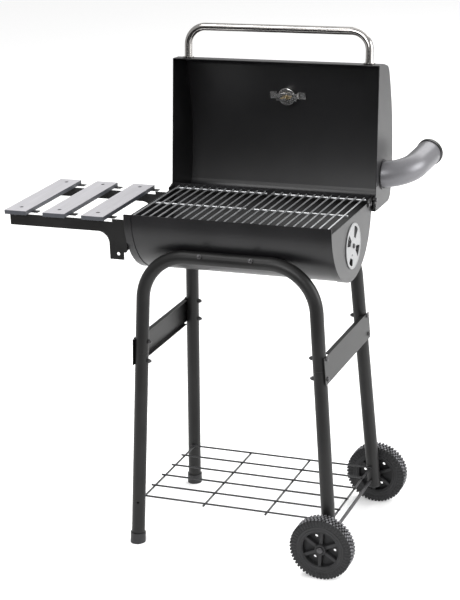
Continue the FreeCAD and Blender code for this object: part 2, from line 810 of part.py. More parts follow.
def lid_shell():
    inner = size.lid_width / 2 - size.lid_sheet
    body, block = lid_solid("lid_sheet_metal", -inner, inner * 2)
    faces = []
    for number, face in enumerate(block.Shape.Faces, start=1):
        sideways = abs(face.normalAt(0, 0).x) > 0.9
        if sideways or abs(face.CenterOfMass.z) < 1e-3:
            faces.append(f"Face{number}")
    hollow = body.newObject("PartDesign::Thickness", "lid_hollow")
    hollow.Base = (block, faces)
    bind(hollow, "Value", size.lid_sheet)
    hollow.Reversed = True
    body.Placement = lid_place()
    gauge_hole = rod("gauge_hole", shifted(gauge_place(), -20), size.gauge_radius + 0.5, 40)
    screws = drills("lid_front", handle_frames(), size.bolt_radius + size.bolt_clearance, 12)
    finish(cut("lid_shell", body, [gauge_hole] + screws), "lid_shell")


def lid_end(side, label):
    half = size.lid_width / 2
    body, _ = lid_solid(label + "_plate", -half if side < 0 else half - size.lid_sheet,
                        size.lid_sheet)
    ear = add_sketch(body, "YZ_Plane", -half if side < 0 else half - size.lid_sheet)
    circle(ear, 0, 0, size.hinge_ear)
    pad(body, ear, size.lid_sheet)
    body.Placement = lid_place()
    eye = lid_place().multiply(frame(240 * side, 0, 0, Y_AXIS, 90 * side))
    tools = [rod(label + "_eye", eye, size.hinge_pin + size.running_gap, 40)]
    if side > 0:
        tools.append(rod("flue_hole", chimney_place().multiply(
            frame(250, 0, 2.2, Y_AXIS, 90)), size.pipe_radius + 1.6, 20))
    finish(cut(label, body, tools), label)


def handle_frames():
    """On the lid's front wall, inside face, Z out through the wall."""
    turn = FreeCAD.Rotation(X_AXIS, 90)
    inside = -float(size.lid_front) - 0.2
    return [lid_place().multiply(FreeCAD.Placement(
        Vector(x * float(size.handle_half), inside, float(size.handle_lift)), turn))
        for x in (-1, 1)]


def lid_handle():
    body = new_body("handle_tube")
    foot, reach, bend = 4.6, size.handle_reach, size.handle_bend
    half = size.handle_half
    path = add_sketch(body, "XY_Plane")
    chain(path, [(half, -foot), (half, bend - reach, -bend), (half - bend, -reach),
                 (bend - half, -reach, -bend), (-half, bend - reach), (-half, -foot)], closed=False)
    profile = add_sketch(body, "XZ_Plane", foot)
    circle(profile, half, 0, size.handle_radius)
    circle(profile, half, 0, size.handle_radius - size.handle_wall)
    pipe(body, profile, path)
    place = lid_place().multiply(frame(0, -size.lid_front, size.handle_lift))
    finish(body, "lid_handle", place)
    washers, plugs, screws = [], [], []
    for number, where in enumerate(handle_frames()):
        ring = rod("washer_blank", shifted(where, 2.4), 14, 1.9)
        hole = rod("washer_hole", where, size.bolt_radius + size.bolt_clearance, 8)
        washers.append(cut(f"handle_washer_{number}", ring, [hole]))
        core = rod("plug_blank", shifted(where, 5), size.handle_radius - size.handle_wall - 0.1, 14)
        tapped = rod("plug_hole", where, size.bolt_radius + 0.05, 30)
        plugs.append(cut(f"handle_plug_{number}", core, [tapped]))
        screws.append(bolt(f"handle_screw_{number}", shifted(where, -1.8), 17, size.bolt_radius,
                           size.bolt_head, 3))
    finish(group("handle_washers", washers), "handle_washers")
    finish(group("handle_plugs", plugs), "handle_plugs")
    finish(group("handle_screws", screws), "handle_screws")


# ---------------------------------------------------------------- chimney

def chimney_place():
    """Centre line of the flue at the right lid end: X out of the lid, Z up the chimney."""
    return lid_place().multiply(frame(0, -size.pipe_along, size.pipe_up, X_AXIS, size.pipe_lean))


def chimney_point(angle):
    x = size.pipe_start + size.pipe_bend * sine(angle)
    z = size.pipe_bend - size.pipe_bend * cosine(angle)
    return x, z


def chimney():
    body = new_body("chimney_pipe")
    first, last = chimney_point(size.pipe_enter), chimney_point(size.pipe_turn)
    mouth = (last[0] + size.pipe_straight * cosine(size.pipe_turn),
             last[1] + size.pipe_straight * sine(size.pipe_turn))
    path = add_sketch(body, "XZ_Plane")
    chain(path, [(*first, size.pipe_bend), last, mouth], closed=False)
    profile = add_sketch(body, "YZ_Plane")
    profile.AttachmentOffset = FreeCAD.Placement(
        Vector(0, float(first[1]), float(first[0])),
        FreeCAD.Rotation(X_AXIS, -float(size.pipe_enter)))
    circle(profile, 0, 0, size.pipe_radius)
    circle(profile, 0, 0, size.pipe_radius - size.pipe_wall)
    pipe(body, profile, path)
    finish(body, "chimney_pipe", chimney_place())

    outside = size.lid_width / 2 + 0.1
    ring = rod("collar_blank", frame(outside, 0, 2.8, Y_AXIS, 90), size.pipe_radius + 5, 2)
    hole = rod("collar_hole", frame(240, 0, 2.8, Y_AXIS, 90), size.pipe_radius + 1.9, 40)
    finish(cut("chimney_collar", ring, [hole]), "chimney_collar", chimney_place())

    along = FreeCAD.Placement(Vector(float(mouth[0]), 0, float(mouth[1])),
                              FreeCAD.Rotation(Y_AXIS, 90 - float(size.pipe_turn)))
    band = rod("rim_blank", shifted(along, -8), size.pipe_radius + 2, 9)
    bore = rod("rim_bore", shifted(along, -9), size.pipe_radius + 0.1, 12)
    finish(cut("chimney_rim", band, [bore]), "chimney_rim", chimney_place())


# ---------------------------------------------------------------- thermometer

def tube_piece(name, place, outer, inner, low, high):
    blank = rod(name + "_blank", shifted(place, low), outer, high - low)
    return cut(name, blank, [rod(name + "_bore", shifted(place, low - 1), inner, high - low + 2)])


def thermometer():
    """Dial outside the lid, its case through a hole, held by a strap and a wing nut inside."""
    place = gauge_place()
    crown = 1.4
    rim = size.gauge_radius
    cup = rod("case_blank", shifted(place, -14), rim, 14 + crown + 8)
    well = rod("case_well", shifted(place, -12.5), rim - 1.2, 40)
    stud = rod("case_stud", shifted(place, -28), 2.5, 14.5)
    hollow = cut("case_cup", cup, [well])
    finish(join("gauge_case", [hollow, stud]), "gauge_case")
    finish(tube_piece("gauge_bezel", place, size.bezel_radius, rim + 0.1, crown, crown + 11),
           "gauge_bezel")
    finish(rod("gauge_dial", shifted(place, crown), rim - 1.5, 1), "gauge_dial")
    finish(rod("gauge_lens", shifted(place, crown + 6), rim - 1.4, 1.5), "gauge_lens")
    cold = frame(0, 0, crown + 2, Z_AXIS, 135)
    finish(gauge_needle(), "gauge_needle", place.multiply(cold))
    finish(gauge_strap(), "gauge_strap", place)
    finish(gauge_wing_nut(), "gauge_wing_nut", place)


def gauge_needle():
    body = new_body("gauge_needle")
    made = add_sketch(body, "XY_Plane")
    chain(made, [(-1.6, -6), (1.6, -6), (0.4, 17), (-0.4, 17)])
    pad(body, made, 0.6)
    cap = add_sketch(body, "XY_Plane")
    circle(cap, 0, 0, 3)
    pad(body, cap, 1.6)
    return body


def gauge_strap():
    """A bent strip that bridges the back of the case and bears on the lid."""
    body = new_body("gauge_strap_strip")
    made = add_sketch(body, "XZ_Plane", -9)
    skin_low = -1.0
    top, low = -14.2, -16
    foot = skin_low - 1.8
    chain(made, [(-46, foot), (-46, skin_low), (-27, skin_low), (-25, top), (25, top),
                 (27, skin_low), (46, skin_low), (46, foot), (28.6, foot), (26.6, low),
                 (-26.6, low), (-28.6, foot)])
    pad(body, made, 18)
    hole = rod("strap_hole", frame(0, 0, -20), 2.8, 10)
    return cut("gauge_strap", body, [hole])


def gauge_wing_nut():
    boss = rod("wing_boss", frame(0, 0, -24.1), 5, 8)
    wings = []
    for side in (-1, 1):
        wing = doc.addObject("Part::Box", "wing")
        for name, value in (("Length", 9), ("Width", 2), ("Height", 9)):
            bind(wing, name, value)
        wing.Placement = frame(4 if side > 0 else -13, -1, -26.7)
        wings.append(wing)
    bore = rod("wing_bore", frame(0, 0, -30), 2.55, 16)
    return cut("gauge_wing_nut", join("wing_blank", [boss] + wings), [bore])


# ---------------------------------------------------------------- side table

def slat_centre(number):
    return -size.table_left + size.slat_width / 2 + size.slat_pitch * number


def table_arm(face, low, label):
    """Face plate with a drop bracket, a tab under each slat and a flange on the barrel's end."""
    body = new_body(label + "_sheet")
    top = size.table_top - size.slat_thick - 0.1
    plate = add_sketch(body, "XZ_Plane", -face)
    left, right, corner = -size.arm_left, -size.drop_left, size.arm_corner
    wall = -size.barrel_length / 2 - 0.1
    chain(plate, [(left, low), (right - corner, low, -corner), (right, low - corner),
                  (right, size.drop_foot), (-size.drop_right, size.drop_foot),
                  (-size.drop_right, 724), (-size.drop_right + 4, 724, 5), (wall, 729),
                  (wall, top + 4), (-288, top + 4), (-288, top - 3), (-309, top - 3), (-309, top),
                  (left, top)])
    pad(body, plate, skin, backwards=True)
    slats = add_sketch(body, "XY_Plane", top - skin)
    for number in range(3):
        centre = slat_centre(number)
        west, east = centre - 22, centre + 24
        chain(slats, [(west, face), (east, face), (east, face + 21), (centre + 43, face + 21),
                      (centre + 43, face + 38), (west, face + 38)])
    pad(body, slats, skin)
    flange = add_sketch(body, "YZ_Plane", wall - skin)
    near = face if face.number < 0 else face + skin - 26
    rectangle(flange, near, 729, near + 26, top + 4)
    pad(body, flange, skin)
    return body


def arm_holes(face, label):
    tools = [wire(label + "_hook", "Y", (-276, face - 5, 720), 20, 4)]
    bolts = [where for where in table_bolt_frames() if where.Base.y * face.number > 0]
    tools += drills(label, bolts, size.bolt_radius + size.bolt_clearance, 12)
    tools += [rod(label + "_slat", shifted(where, -4), size.screw_radius + 0.2, 8)
              for where in slat_screw_frames() if where.Base.y * face.number > 0]
    return tools


def slat_screw_frames():
    """Down through each slat into the arm's tab: origin on the slat's underside."""
    turn = FreeCAD.Rotation(X_AXIS, 180)
    under = float(size.table_top - size.slat_thick)
    return [FreeCAD.Placement(Vector(float(slat_centre(number)), y, under), turn)
            for number in range(3) for y in (-116, 124)]


def side_table():
    front, rear = -size.arm_face, size.rear_arm_face
    for face, low, label in ((front, size.arm_low, "table_arm_front"),
                             (rear, size.arm_low + 5, "table_arm_rear")):
        finish(cut(label, table_arm(face, low, label), arm_holes(face, label)), label)
    screws = []
    for number, name in enumerate(("outer", "middle", "inner")):
        body = new_body(f"slat_{name}_board")
        made = add_sketch(body, "XY_Plane", size.table_top - size.slat_thick)
        middle = slat_centre(number)
        rectangle(made, middle - size.slat_width / 2, -size.slat_half_deep,
                  middle + size.slat_width / 2, size.slat_half_deep)
        pad(body, made, size.slat_thick)
        near = [where for where in slat_screw_frames() if abs(where.Base.x - float(middle)) < 1]
        holes = [rod("slat_hole", shifted(where, -size.slat_thick - 1), size.screw_radius + 0.2, 20)
                 for where in near]
        wells = [rod("slat_well", shifted(where, -size.slat_thick - 1), size.screw_head + 0.2, 3.4)
                 for where in near]
        finish(cut(f"slat_{name}", body, holes + wells), f"slat_{name}")
    nuts = []
    for number, where in enumerate(slat_screw_frames()):
        start = shifted(where, -size.slat_thick + 2.3)
        screws.append(bolt(f"slat_screw_{number}", start, size.slat_thick + 6, size.screw_radius,
                           size.screw_head, 2.1))
        nuts.append(nut(f"slat_nut_{number}", shifted(where, skin + 0.3), size.screw_radius))
    finish(group("slat_screws", screws), "slat_screws")
    finish(group("slat_nuts", nuts), "slat_nuts")


def table_fasteners():
    bolts = []
    for number, where in enumerate(table_bolt_frames()):
        bolts.append(bolt(f"table_bolt_{number}", shifted(where, -0.2), 12, size.bolt_radius,
                          size.bolt_head, size.bolt_head_depth))
        hex_nuts.append(nut(f"table_nut_{number}", shifted(where, skin * 2 + 0.5),
                            size.bolt_radius))
    finish(group("table_bolts", bolts), "table_bolts")


# ---------------------------------------------------------------- whole grill

def build():
    barrel_shell()
    for side, name in ((-1, "left"), (1, "right")):
        barrel_end(side, f"barrel_end_{name}")
        side_brace(side, f"side_brace_{name}")
        hinge_bracket(side, f"hinge_bracket_{name}")
        lid_end(side, f"lid_end_{name}")
        cooking_grate(side, f"cooking_grate_{name}")
    for side, name in ((-1, "front"), (1, "rear")):
        leg_frame(side, f"leg_frame_{name}")
        lower_leg(side, -1, size.left_leg_end, f"lower_leg_left_{name}")
        lower_leg(side, 1, size.right_leg_end, f"lower_leg_right_{name}")
        foot_cap(side, f"foot_cap_{name}")
        wheel_hub(side, f"wheel_hub_{name}")
        wheel_tyre(side, f"wheel_tyre_{name}")
    finish(group("grate_rails", [grate_rail(side) for side in (-1, 1)]), "grate_rails")
    finish(group("leg_plugs", [leg_plug(side) for side in (-1, 1)]), "leg_plugs")
    charcoal_grate()
    vent_disc()
    vent_screw()
    frame_fasteners()
    brace_fasteners()
    axle()
    bottom_shelf()
    hinge_pins()
    lid_shell()
    lid_handle()
    chimney()
    thermometer()
    side_table()
    table_fasteners()
    finish(group("hex_nuts", hex_nuts), "hex_nuts")


def check():
    for thing in doc.Objects:
        if "Invalid" in thing.State or "Error" in thing.State:
            raise RuntimeError(f"{thing.Label} failed: {thing.State}")
    for node in nodes:
        if node.Shape.isNull() or not node.Shape.isValid() or not node.Shape.Solids:
            raise RuntimeError(f"{node.Label} has no valid solid")


build()
doc.recompute()
check()
os.makedirs("parts", exist_ok=True)
for node in nodes:
    node.Shape.exportStep(f"parts/{node.Label}.step")
print(len(nodes), "sub-parts written")
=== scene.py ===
"""A barrel charcoal grill with a chimney on its lid, on a wheeled tube cart: its looks.

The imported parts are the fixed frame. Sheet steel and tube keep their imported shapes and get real
finishes. Wheels, fasteners, the vent disc, the handle and the thermometer are modelled here. The
studio is a pale floor under softboxes, with two dark cloths that nothing but a reflection shows.
"""

import json
import math

import bmesh
import bpy
import numpy
from mathutils import Matrix, Vector

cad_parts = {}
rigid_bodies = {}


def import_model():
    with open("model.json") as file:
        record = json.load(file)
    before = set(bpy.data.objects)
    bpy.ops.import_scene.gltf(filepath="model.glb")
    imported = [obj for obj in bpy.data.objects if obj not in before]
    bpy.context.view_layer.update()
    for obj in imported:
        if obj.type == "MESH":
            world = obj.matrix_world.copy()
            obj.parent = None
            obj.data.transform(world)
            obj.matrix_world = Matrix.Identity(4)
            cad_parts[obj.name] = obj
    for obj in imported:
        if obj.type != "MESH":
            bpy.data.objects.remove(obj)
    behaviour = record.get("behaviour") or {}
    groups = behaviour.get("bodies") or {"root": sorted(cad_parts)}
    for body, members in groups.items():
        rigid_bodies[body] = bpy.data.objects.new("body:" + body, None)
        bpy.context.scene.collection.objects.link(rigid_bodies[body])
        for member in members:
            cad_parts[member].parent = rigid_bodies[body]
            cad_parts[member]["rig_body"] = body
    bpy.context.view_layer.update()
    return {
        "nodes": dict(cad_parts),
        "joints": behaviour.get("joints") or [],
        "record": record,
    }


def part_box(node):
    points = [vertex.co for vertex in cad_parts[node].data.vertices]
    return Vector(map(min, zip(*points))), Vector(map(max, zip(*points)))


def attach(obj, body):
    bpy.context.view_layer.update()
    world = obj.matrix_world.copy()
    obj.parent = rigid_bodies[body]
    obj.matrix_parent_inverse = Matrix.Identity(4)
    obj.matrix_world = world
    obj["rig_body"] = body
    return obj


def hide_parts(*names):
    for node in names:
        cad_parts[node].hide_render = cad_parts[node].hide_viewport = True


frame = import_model()

bl_info = {
    "name": "Barrel Grill Looks",
    "version": (1, 0, 0),
    "blender": (4, 5, 0),
    "location": "View3D > Sidebar > Grill",
    "description": "Models and finishes the pieces of a barrel grill around its packed parts",
    "category": "Object",
}

MM = 0.001
FULL_TURN = 2 * math.pi
SMALL_HOLE = 20  # faces round a small hole
SLOT_OF = {part["node"]: part["material_slot"] for part in frame["record"]["subparts"]}


# ---------------------------------------------------------------- sizes and colours

def distance(name, text, default):
    return bpy.props.FloatProperty(name=name, description=text, default=default, min=0,
                                   unit="LENGTH", subtype="DISTANCE", precision=4)


def colour(name, text, default):
    return bpy.props.FloatVectorProperty(name=name, description=text, default=default, size=3,
                                         min=0, max=1, subtype="COLOR")


def count(name, text, default):
    return bpy.props.IntProperty(name=name, description=text, default=default, min=1)


def turn(name, text, degrees):
    return bpy.props.FloatProperty(name=name, description=text, default=math.radians(degrees),
                                   subtype="ANGLE", unit="ROTATION")


class GrillWheelSizes(bpy.types.PropertyGroup):
    knobs: count("Knobs", "Tread knobs round one row", 52)
    knob_rows: count("Knob rows", "Rows of knobs across the tread", 4)
    knob_long: distance("Knob length", "Size of a knob round the wheel", 0.0052)
    knob_wide: distance("Knob width", "Size of a knob across the wheel", 0.0068)
    knob_deep: distance("Knob depth", "How far a knob stands out of the tread", 0.0036)
    rim: distance("Rim radius", "Inner radius of the tyre, where the hub starts", 0.046)
    well: distance("Well radius", "Radius of the sunken middle of the hub", 0.0435)
    boss: distance("Boss radius", "Outer radius of the middle boss", 0.013)
    socket: distance("Socket radius", "Recess in the end of the boss", 0.0092)
    bore: distance("Bore", "Radius of the hole for the axle", 0.0041)
    web: distance("Web", "Thickness of the plate between the spokes", 0.005)
    spokes: count("Spokes", "Spokes in each wheel", 6)
    spoke_wide: distance("Spoke width", "Width of a spoke", 0.0078)
    spoke_deep: distance("Spoke depth", "Depth of a spoke along the axle", 0.029)
    cap: distance("Cap thickness", "Thickness of the cap on each end of the axle", 0.0035)
    drain: distance("Drain radius", "Radius of the small holes through the web", 0.0038)
    drain_out: distance("Drain distance", "How far the small holes are from the axle", 0.031)
    front_turn: turn("Front wheel turn", "How far the front hub has rolled at rest", 35)
    rear_turn: turn("Rear wheel turn", "How far the rear hub has rolled at rest", -23)


class GrillLidSizes(bpy.types.PropertyGroup):
    tube: distance("Handle tube", "Radius of the handle tube", 0.0095)
    bend: distance("Handle bend", "Bend radius of the handle's corners", 0.044)
    facets: count("Facets", "Faces round the handle tube", 40)


class GrillVentSizes(bpy.types.PropertyGroup):
    windows: count("Windows", "Air windows in the disc", 4)
    lead: turn("Lead", "Angle of the first window from level", 60)
    window_inner: distance("Window inside", "Inner radius of a window", 0.020)
    short_inner: distance("Short window", "Inner radius of the window by the stop hole", 0.031)
    window_outer: distance("Window outside", "Outer radius of a window", 0.047)
    window_wide: turn("Window width", "Angle that a window covers", 36)
    rim: distance("Rim", "Width of the raised rim", 0.0035)
    screw_hole: distance("Screw hole", "Radius of the hole for the screw", 0.0031)
    stop_hole: distance("Stop hole", "Radius of the small hole below the screw", 0.0028)
    stop_out: distance("Stop hole distance", "How far the small hole is from the middle", 0.022)


class GrillGaugeSizes(bpy.types.PropertyGroup):
    cup_deep: distance("Cup depth", "Depth of the case behind its lip", 0.0234)
    window: distance("Window", "Inner radius of the bezel", 0.0231)
    stud: distance("Stud", "Radius of the threaded stud behind the case", 0.0025)
    ticks: count("Ticks", "Marks round the dial", 25)
    sweep: turn("Sweep", "Angle that the marks cover", 270)
    wing_long: distance("Wing length", "How far a wing reaches from the nut", 0.0095)
    wing_thick: distance("Wing thickness", "Thickness of a wing", 0.0022)


class GrillFastenerSizes(bpy.types.PropertyGroup):
    facets: count("Facets", "Faces round a screw head", 28)
    cross_wide: distance("Cross width", "Width of the cross recess", 0.0012)
    cross_long: distance("Cross length", "Half the length of the cross recess", 0.0028)
    cross_deep: distance("Cross depth", "Depth of the cross recess", 0.0014)


class GrillColours(bpy.types.PropertyGroup):
    enamel: colour("Enamel", "Heat-resistant enamel on barrel, lid and chimney",
                   (0.0062, 0.0060, 0.0068))
    # Grey enamel: the chimney is black enamel like the lid; this lighter grey is a painted sheen of
    # the strong side light on it.
    grey: colour("Grey enamel", "Graphite-grey enamel on the chimney pipe", (0.15, 0.149, 0.158))
    paint: colour("Paint", "Paint on legs, braces and table arms", (0.010, 0.0098, 0.0098))
    wire: colour("Wire", "Coating on the shelf and the charcoal grate", (0.012, 0.012, 0.013))
    chrome: colour("Chrome", "Handle and its washers", (0.42, 0.405, 0.392))
    grate: colour("Plated wire", "Rods of the cooking grates", (0.50, 0.508, 0.52))
    black_zinc: colour("Black zinc", "Plating of bolts, nuts, pins and the axle",
                       (0.085, 0.083, 0.086))
    pale_zinc: colour("Bright zinc", "Plating of the vent disc", (0.30, 0.302, 0.306))
    polished: colour("Polished steel", "Case, strap and bezel of the thermometer",
                     (0.50, 0.495, 0.49))
    brass: colour("Brass", "Wing nut", (0.38, 0.30, 0.17))
    # Board: the pale tone is a painted reflection of the overhead light on the boards' up and down
    # faces; side faces keep the dark edge tone.
    board: colour("Board", "Faces of the table boards", (0.41, 0.403, 0.423))
    board_edge: colour("Board edge", "Edges of the table boards", (0.048, 0.051, 0.060))
    wheel: colour("Wheel plastic", "Tyres and hubs", (0.017, 0.017, 0.018))
    foot: colour("Foot plastic", "Feet and plugs", (0.015, 0.015, 0.016))
    dial: colour("Dial", "Face of the thermometer", (0.82, 0.82, 0.80))
    needle: colour("Needle", "Pointer of the thermometer", (0.50, 0.03, 0.02))


class GrillStudio(bpy.types.PropertyGroup):
    eye: bpy.props.FloatVectorProperty(name="Eye", description="Where the camera stands",
                                       default=(1.4988, -3.6742, 1.885), size=3,
                                       subtype="TRANSLATION", unit="LENGTH")
    heading: turn("Heading", "Turn of the camera to the left of straight ahead", 22.0)
    dip: turn("Dip", "How far the camera looks down", 18.54)
    tilt: turn("Tilt", "Roll of the camera", -2.15)
    lens: bpy.props.FloatProperty(name="Lens", description="Focal length for a 36 mm high frame",
                                  default=102.93, min=1)
    floor: colour("Floor", "Pale floor", (0.93, 0.93, 0.93))
    sky: bpy.props.FloatProperty(name="Room light", description="Strength of the even room light",
                                 default=0.60, min=0)
    overhead: bpy.props.FloatProperty(name="Overhead", description="Power of the top softbox",
                                      default=20.0, min=0, unit="POWER")
    front: bpy.props.FloatProperty(name="Front", description="Power of the high front softbox",
                                   default=95.0, min=0, unit="POWER")
    side: bpy.props.FloatProperty(name="Side", description="Power of the softbox on the right",
                                  default=80.0, min=0, unit="POWER")
    back: bpy.props.FloatProperty(name="Back", description="Power of the softbox behind",
                                  default=110.0, min=0, unit="POWER")
    even: bpy.props.FloatProperty(name="Even light", description="Strength of the wide soft light "
                                  "that whitens the whole floor", default=0.75, min=0)


GROUPS = {
    "grill_wheels": GrillWheelSizes,
    "grill_lid": GrillLidSizes,
    "grill_vent": GrillVentSizes,
    "grill_gauge": GrillGaugeSizes,
    "grill_fasteners": GrillFastenerSizes,
    "grill_colours": GrillColours,
    "grill_studio": GrillStudio,
}


# ---------------------------------------------------------------- shader maths

class Link:
    """A shader socket that takes part in ordinary sums."""

    def __init__(self, recipe, socket):
        self.recipe = recipe
        self.socket = socket

    def _sum(self, operation, first, second):
        return self.recipe.node("ShaderNodeMath", {"operation": operation}, {0: first, 1: second})

    def __add__(self, other):
        return self._sum("ADD", self, other)

    def __radd__(self, other):
        return self._sum("ADD", other, self)

    def __mul__(self, other):
        return self._sum("MULTIPLY", self, other)

    def __rmul__(self, other):
        return self._sum("MULTIPLY", other, self)

    def __pow__(self, other):
        return self._sum("POWER", self, other)

    def __lt__(self, other):
        return self._sum("LESS_THAN", self, other)

    def __gt__(self, other):
        return self._sum("GREATER_THAN", self, other)


class Recipe:
    """A finish: one material, its main shader, and the one way that nodes are added to it."""

    def __init__(self, name, **fixed):
        self.material = bpy.data.materials.new(name)
        self.material.use_nodes = True
        self.tree = self.material.node_tree
        self.shader = self.tree.nodes["Principled BSDF"]
        for label, value in fixed.items():
            self.shader.inputs[label.replace("_", " ")].default_value = value

    def node(self, kind, settings=None, sockets=None, output=0):
        made = self.tree.nodes.new(kind)
        for name, setting in (settings or {}).items():
            if name == "stops":
                self._set_stops(made.color_ramp, setting)
            else:
                setattr(made, name, setting)
        for key, value in (sockets or {}).items():
            if isinstance(value, Link):
                self.tree.links.new(value.socket, made.inputs[key])
            else:
                made.inputs[key].default_value = value
        return Link(self, made.outputs[output])

    @staticmethod
    def _set_stops(ramp, stops):
        while len(ramp.elements) < len(stops):
            ramp.elements.new(1.0)
        for element, (position, value) in zip(ramp.elements, stops):
            element.position = position
            element.color = (*value, 1.0)

    def place(self, centre=(0, 0, 0), scale=(1, 1, 1)):
        """Object coordinates, counted from centre and stretched by scale."""
        raw = self.node("ShaderNodeTexCoord", output="Object")
        moved = tuple(-where * factor for where, factor in zip(centre, scale))
        return self.node("ShaderNodeMapping", None, {"Vector": raw, "Location": moved,
                                                     "Scale": scale})

    def grain(self, where, scale, detail=3.0, rough=0.5):
        return self.node("ShaderNodeTexNoise", None,
                         {"Vector": where, "Scale": scale, "Detail": detail, "Roughness": rough})

    def step(self, value, low, high, out_low=0.0, out_high=1.0):
        """Smooth change from out_low to out_high as value goes from low to high."""
        return self.node("ShaderNodeMapRange", {"interpolation_type": "SMOOTHSTEP"},
                         {"Value": value, "From Min": low, "From Max": high,
                          "To Min": out_low, "To Max": out_high})

    def mix(self, share, first, second):
        """Colour mix: first where share is 0, second where it is 1."""
        return self.node("ShaderNodeMix", {"data_type": "RGBA"},
                         {0: share, 6: as_colour(first), 7: as_colour(second)}, output=2)

    def feed(self, label, value):
        if isinstance(value, Link):
            self.tree.links.new(value.socket, self.shader.inputs[label])
        else:
            self.shader.inputs[label].default_value = value

    def bump(self, height, strength, depth):
        self.feed("Normal", self.node("ShaderNodeBump", None,
                                      {"Strength": strength, "Distance": depth,
                                       "Height": height}))


def as_colour(value):
    return value if isinstance(value, Link) else (*tuple(value)[:3], 1.0)


def shade(tone, factor):
    return tuple(min(1.0, part * factor) for part in tone)


# ---------------------------------------------------------------- finishes

def satin_enamel(tones):
    """Baked enamel on sheet steel: near black, slightly mottled, with a faint orange-peel skin."""
    made = Recipe("satin_enamel", Specular_IOR_Level=0.42, Coat_Roughness=0.30)
    wide = made.grain(made.place(), 7.0, 2.0)
    fine = made.grain(made.place(), 420.0, 2.0, 0.55)
    speck = made.step(made.grain(made.place(), 900.0, 1.0), 0.66, 0.74)
    base = made.mix(made.step(wide, 0.3, 0.7), shade(tones.enamel, 0.82), shade(tones.enamel, 1.2))
    made.feed("Base Color", made.mix(speck * 0.5, base, shade(tones.enamel, 2.2)))
    made.feed("Roughness", 0.33 + fine * 0.06 + wide * 0.05)
    made.feed("Coat Weight", made.step(wide, 0.2, 0.8, 0.0, 0.08))
    made.bump(fine, 0.10, 0.0003)
    return made.material


def grey_enamel(tones):
    """The chimney's black enamel made a lighter graphite grey with metal flake, a painted sheen of
    the side light, drawn out faintly along the pipe.
    """
    made = Recipe("grey_enamel", Metallic=0.55, Specular_IOR_Level=0.5)
    flake = made.grain(made.place(), 1300.0, 2.0)
    drawn = made.grain(made.place(scale=(26, 340, 340)), 1.0, 2.0)
    base = made.mix(made.step(flake, 0.3, 0.7), shade(tones.grey, 0.86), shade(tones.grey, 1.14))
    made.feed("Base Color", made.mix(drawn * 0.5, base, shade(tones.grey, 0.82)))
    made.feed("Roughness", 0.34 + flake * 0.06 + drawn * 0.06)
    made.bump(flake, 0.06, 0.0002)
    return made.material


def satin_paint(tones):
    """Sprayed paint on tube and plate: an even satin with a soft texture."""
    made = Recipe("satin_paint", Specular_IOR_Level=0.27)
    wide = made.grain(made.place(), 11.0, 2.0)
    fine = made.grain(made.place(), 700.0, 2.0)
    made.feed("Base Color", made.mix(made.step(wide, 0.35, 0.68), shade(tones.paint, 0.85),
                                     shade(tones.paint, 1.22)))
    made.feed("Roughness", 0.37 + wide * 0.06 + fine * 0.04)
    made.bump(fine, 0.08, 0.0002)
    return made.material


def coated_wire(tones):
    """Dip-coated wire: darker and glossier, thicker in places."""
    made = Recipe("coated_wire", Specular_IOR_Level=0.5)
    lumps = made.grain(made.place(), 90.0, 2.0)
    made.feed("Base Color", made.mix(lumps, shade(tones.wire, 0.75), shade(tones.wire, 1.3)))
    made.feed("Roughness", made.step(lumps, 0.3, 0.7, 0.30, 0.42))
    made.bump(lumps, 0.12, 0.0004)
    return made.material


def bright_chrome(tones):
    """Chrome plate over tube and rod: mirror bright with hairline polishing marks."""
    made = Recipe("bright_chrome", Metallic=1.0)
    hair = made.grain(made.place(scale=(60, 900, 900)), 1.0, 2.0)
    haze = made.grain(made.place(), 35.0, 2.0)
    made.feed("Base Color", made.mix(made.step(haze, 0.35, 0.75), tones.chrome,
                                     shade(tones.chrome, 0.86)))
    made.feed("Roughness", 0.10 + hair * 0.07 + haze * 0.05)
    made.bump(hair, 0.04, 0.0001)
    return made.material


def plated_wire(tones):
    """Plated rod of the cooking grates: paler and duller than the handle, a little heat-stained."""
    made = Recipe("plated_wire", Metallic=0.8)
    stain = made.grain(made.place(), 30.0, 3.0)
    draw = made.grain(made.place(scale=(900, 40, 900)), 1.0, 2.0)
    made.feed("Base Color", made.mix(made.step(stain, 0.4, 0.75), tones.grate,
                                     shade(tones.grate, 0.72)))
    made.feed("Roughness", 0.30 + draw * 0.10 + stain * 0.08)
    made.bump(draw, 0.05, 0.0001)
    return made.material


def zinc_plate(name, tone, metal):
    """Zinc plating: crystals of slightly different greys."""
    made = Recipe(name, Metallic=metal)
    flakes = made.node("ShaderNodeTexVoronoi", {"feature": "F1"},
                       {"Vector": made.place(), "Scale": 260.0}, output="Color")
    level = made.node("ShaderNodeSeparateColor", None, {"Color": flakes})
    haze = made.grain(made.place(), 60.0, 3.0)
    made.feed("Base Color", made.mix(level * 0.45 + haze * 0.4, shade(tone, 0.80),
                                     shade(tone, 1.14)))
    made.feed("Roughness", 0.34 + level * 0.10 + haze * 0.08)
    made.bump(level, 0.03, 0.0001)
    return made.material


def pale_zinc(tones):
    return zinc_plate("pale_zinc", tones.pale_zinc, 0.25)


def black_zinc(tones):
    return zinc_plate("black_zinc", tones.black_zinc, 0.8)


def polished_steel(tones):
    """Polished sheet steel with fine brushing."""
    made = Recipe("polished_steel", Metallic=1.0)
    brush = made.grain(made.place(scale=(1400, 90, 90)), 1.0, 2.0)
    haze = made.grain(made.place(), 45.0, 2.0)
    made.feed("Base Color", made.mix(haze, shade(tones.polished, 0.88),
                                     shade(tones.polished, 1.08)))
    made.feed("Roughness", 0.18 + brush * 0.10 + haze * 0.04)
    made.bump(brush, 0.05, 0.0001)
    return made.material


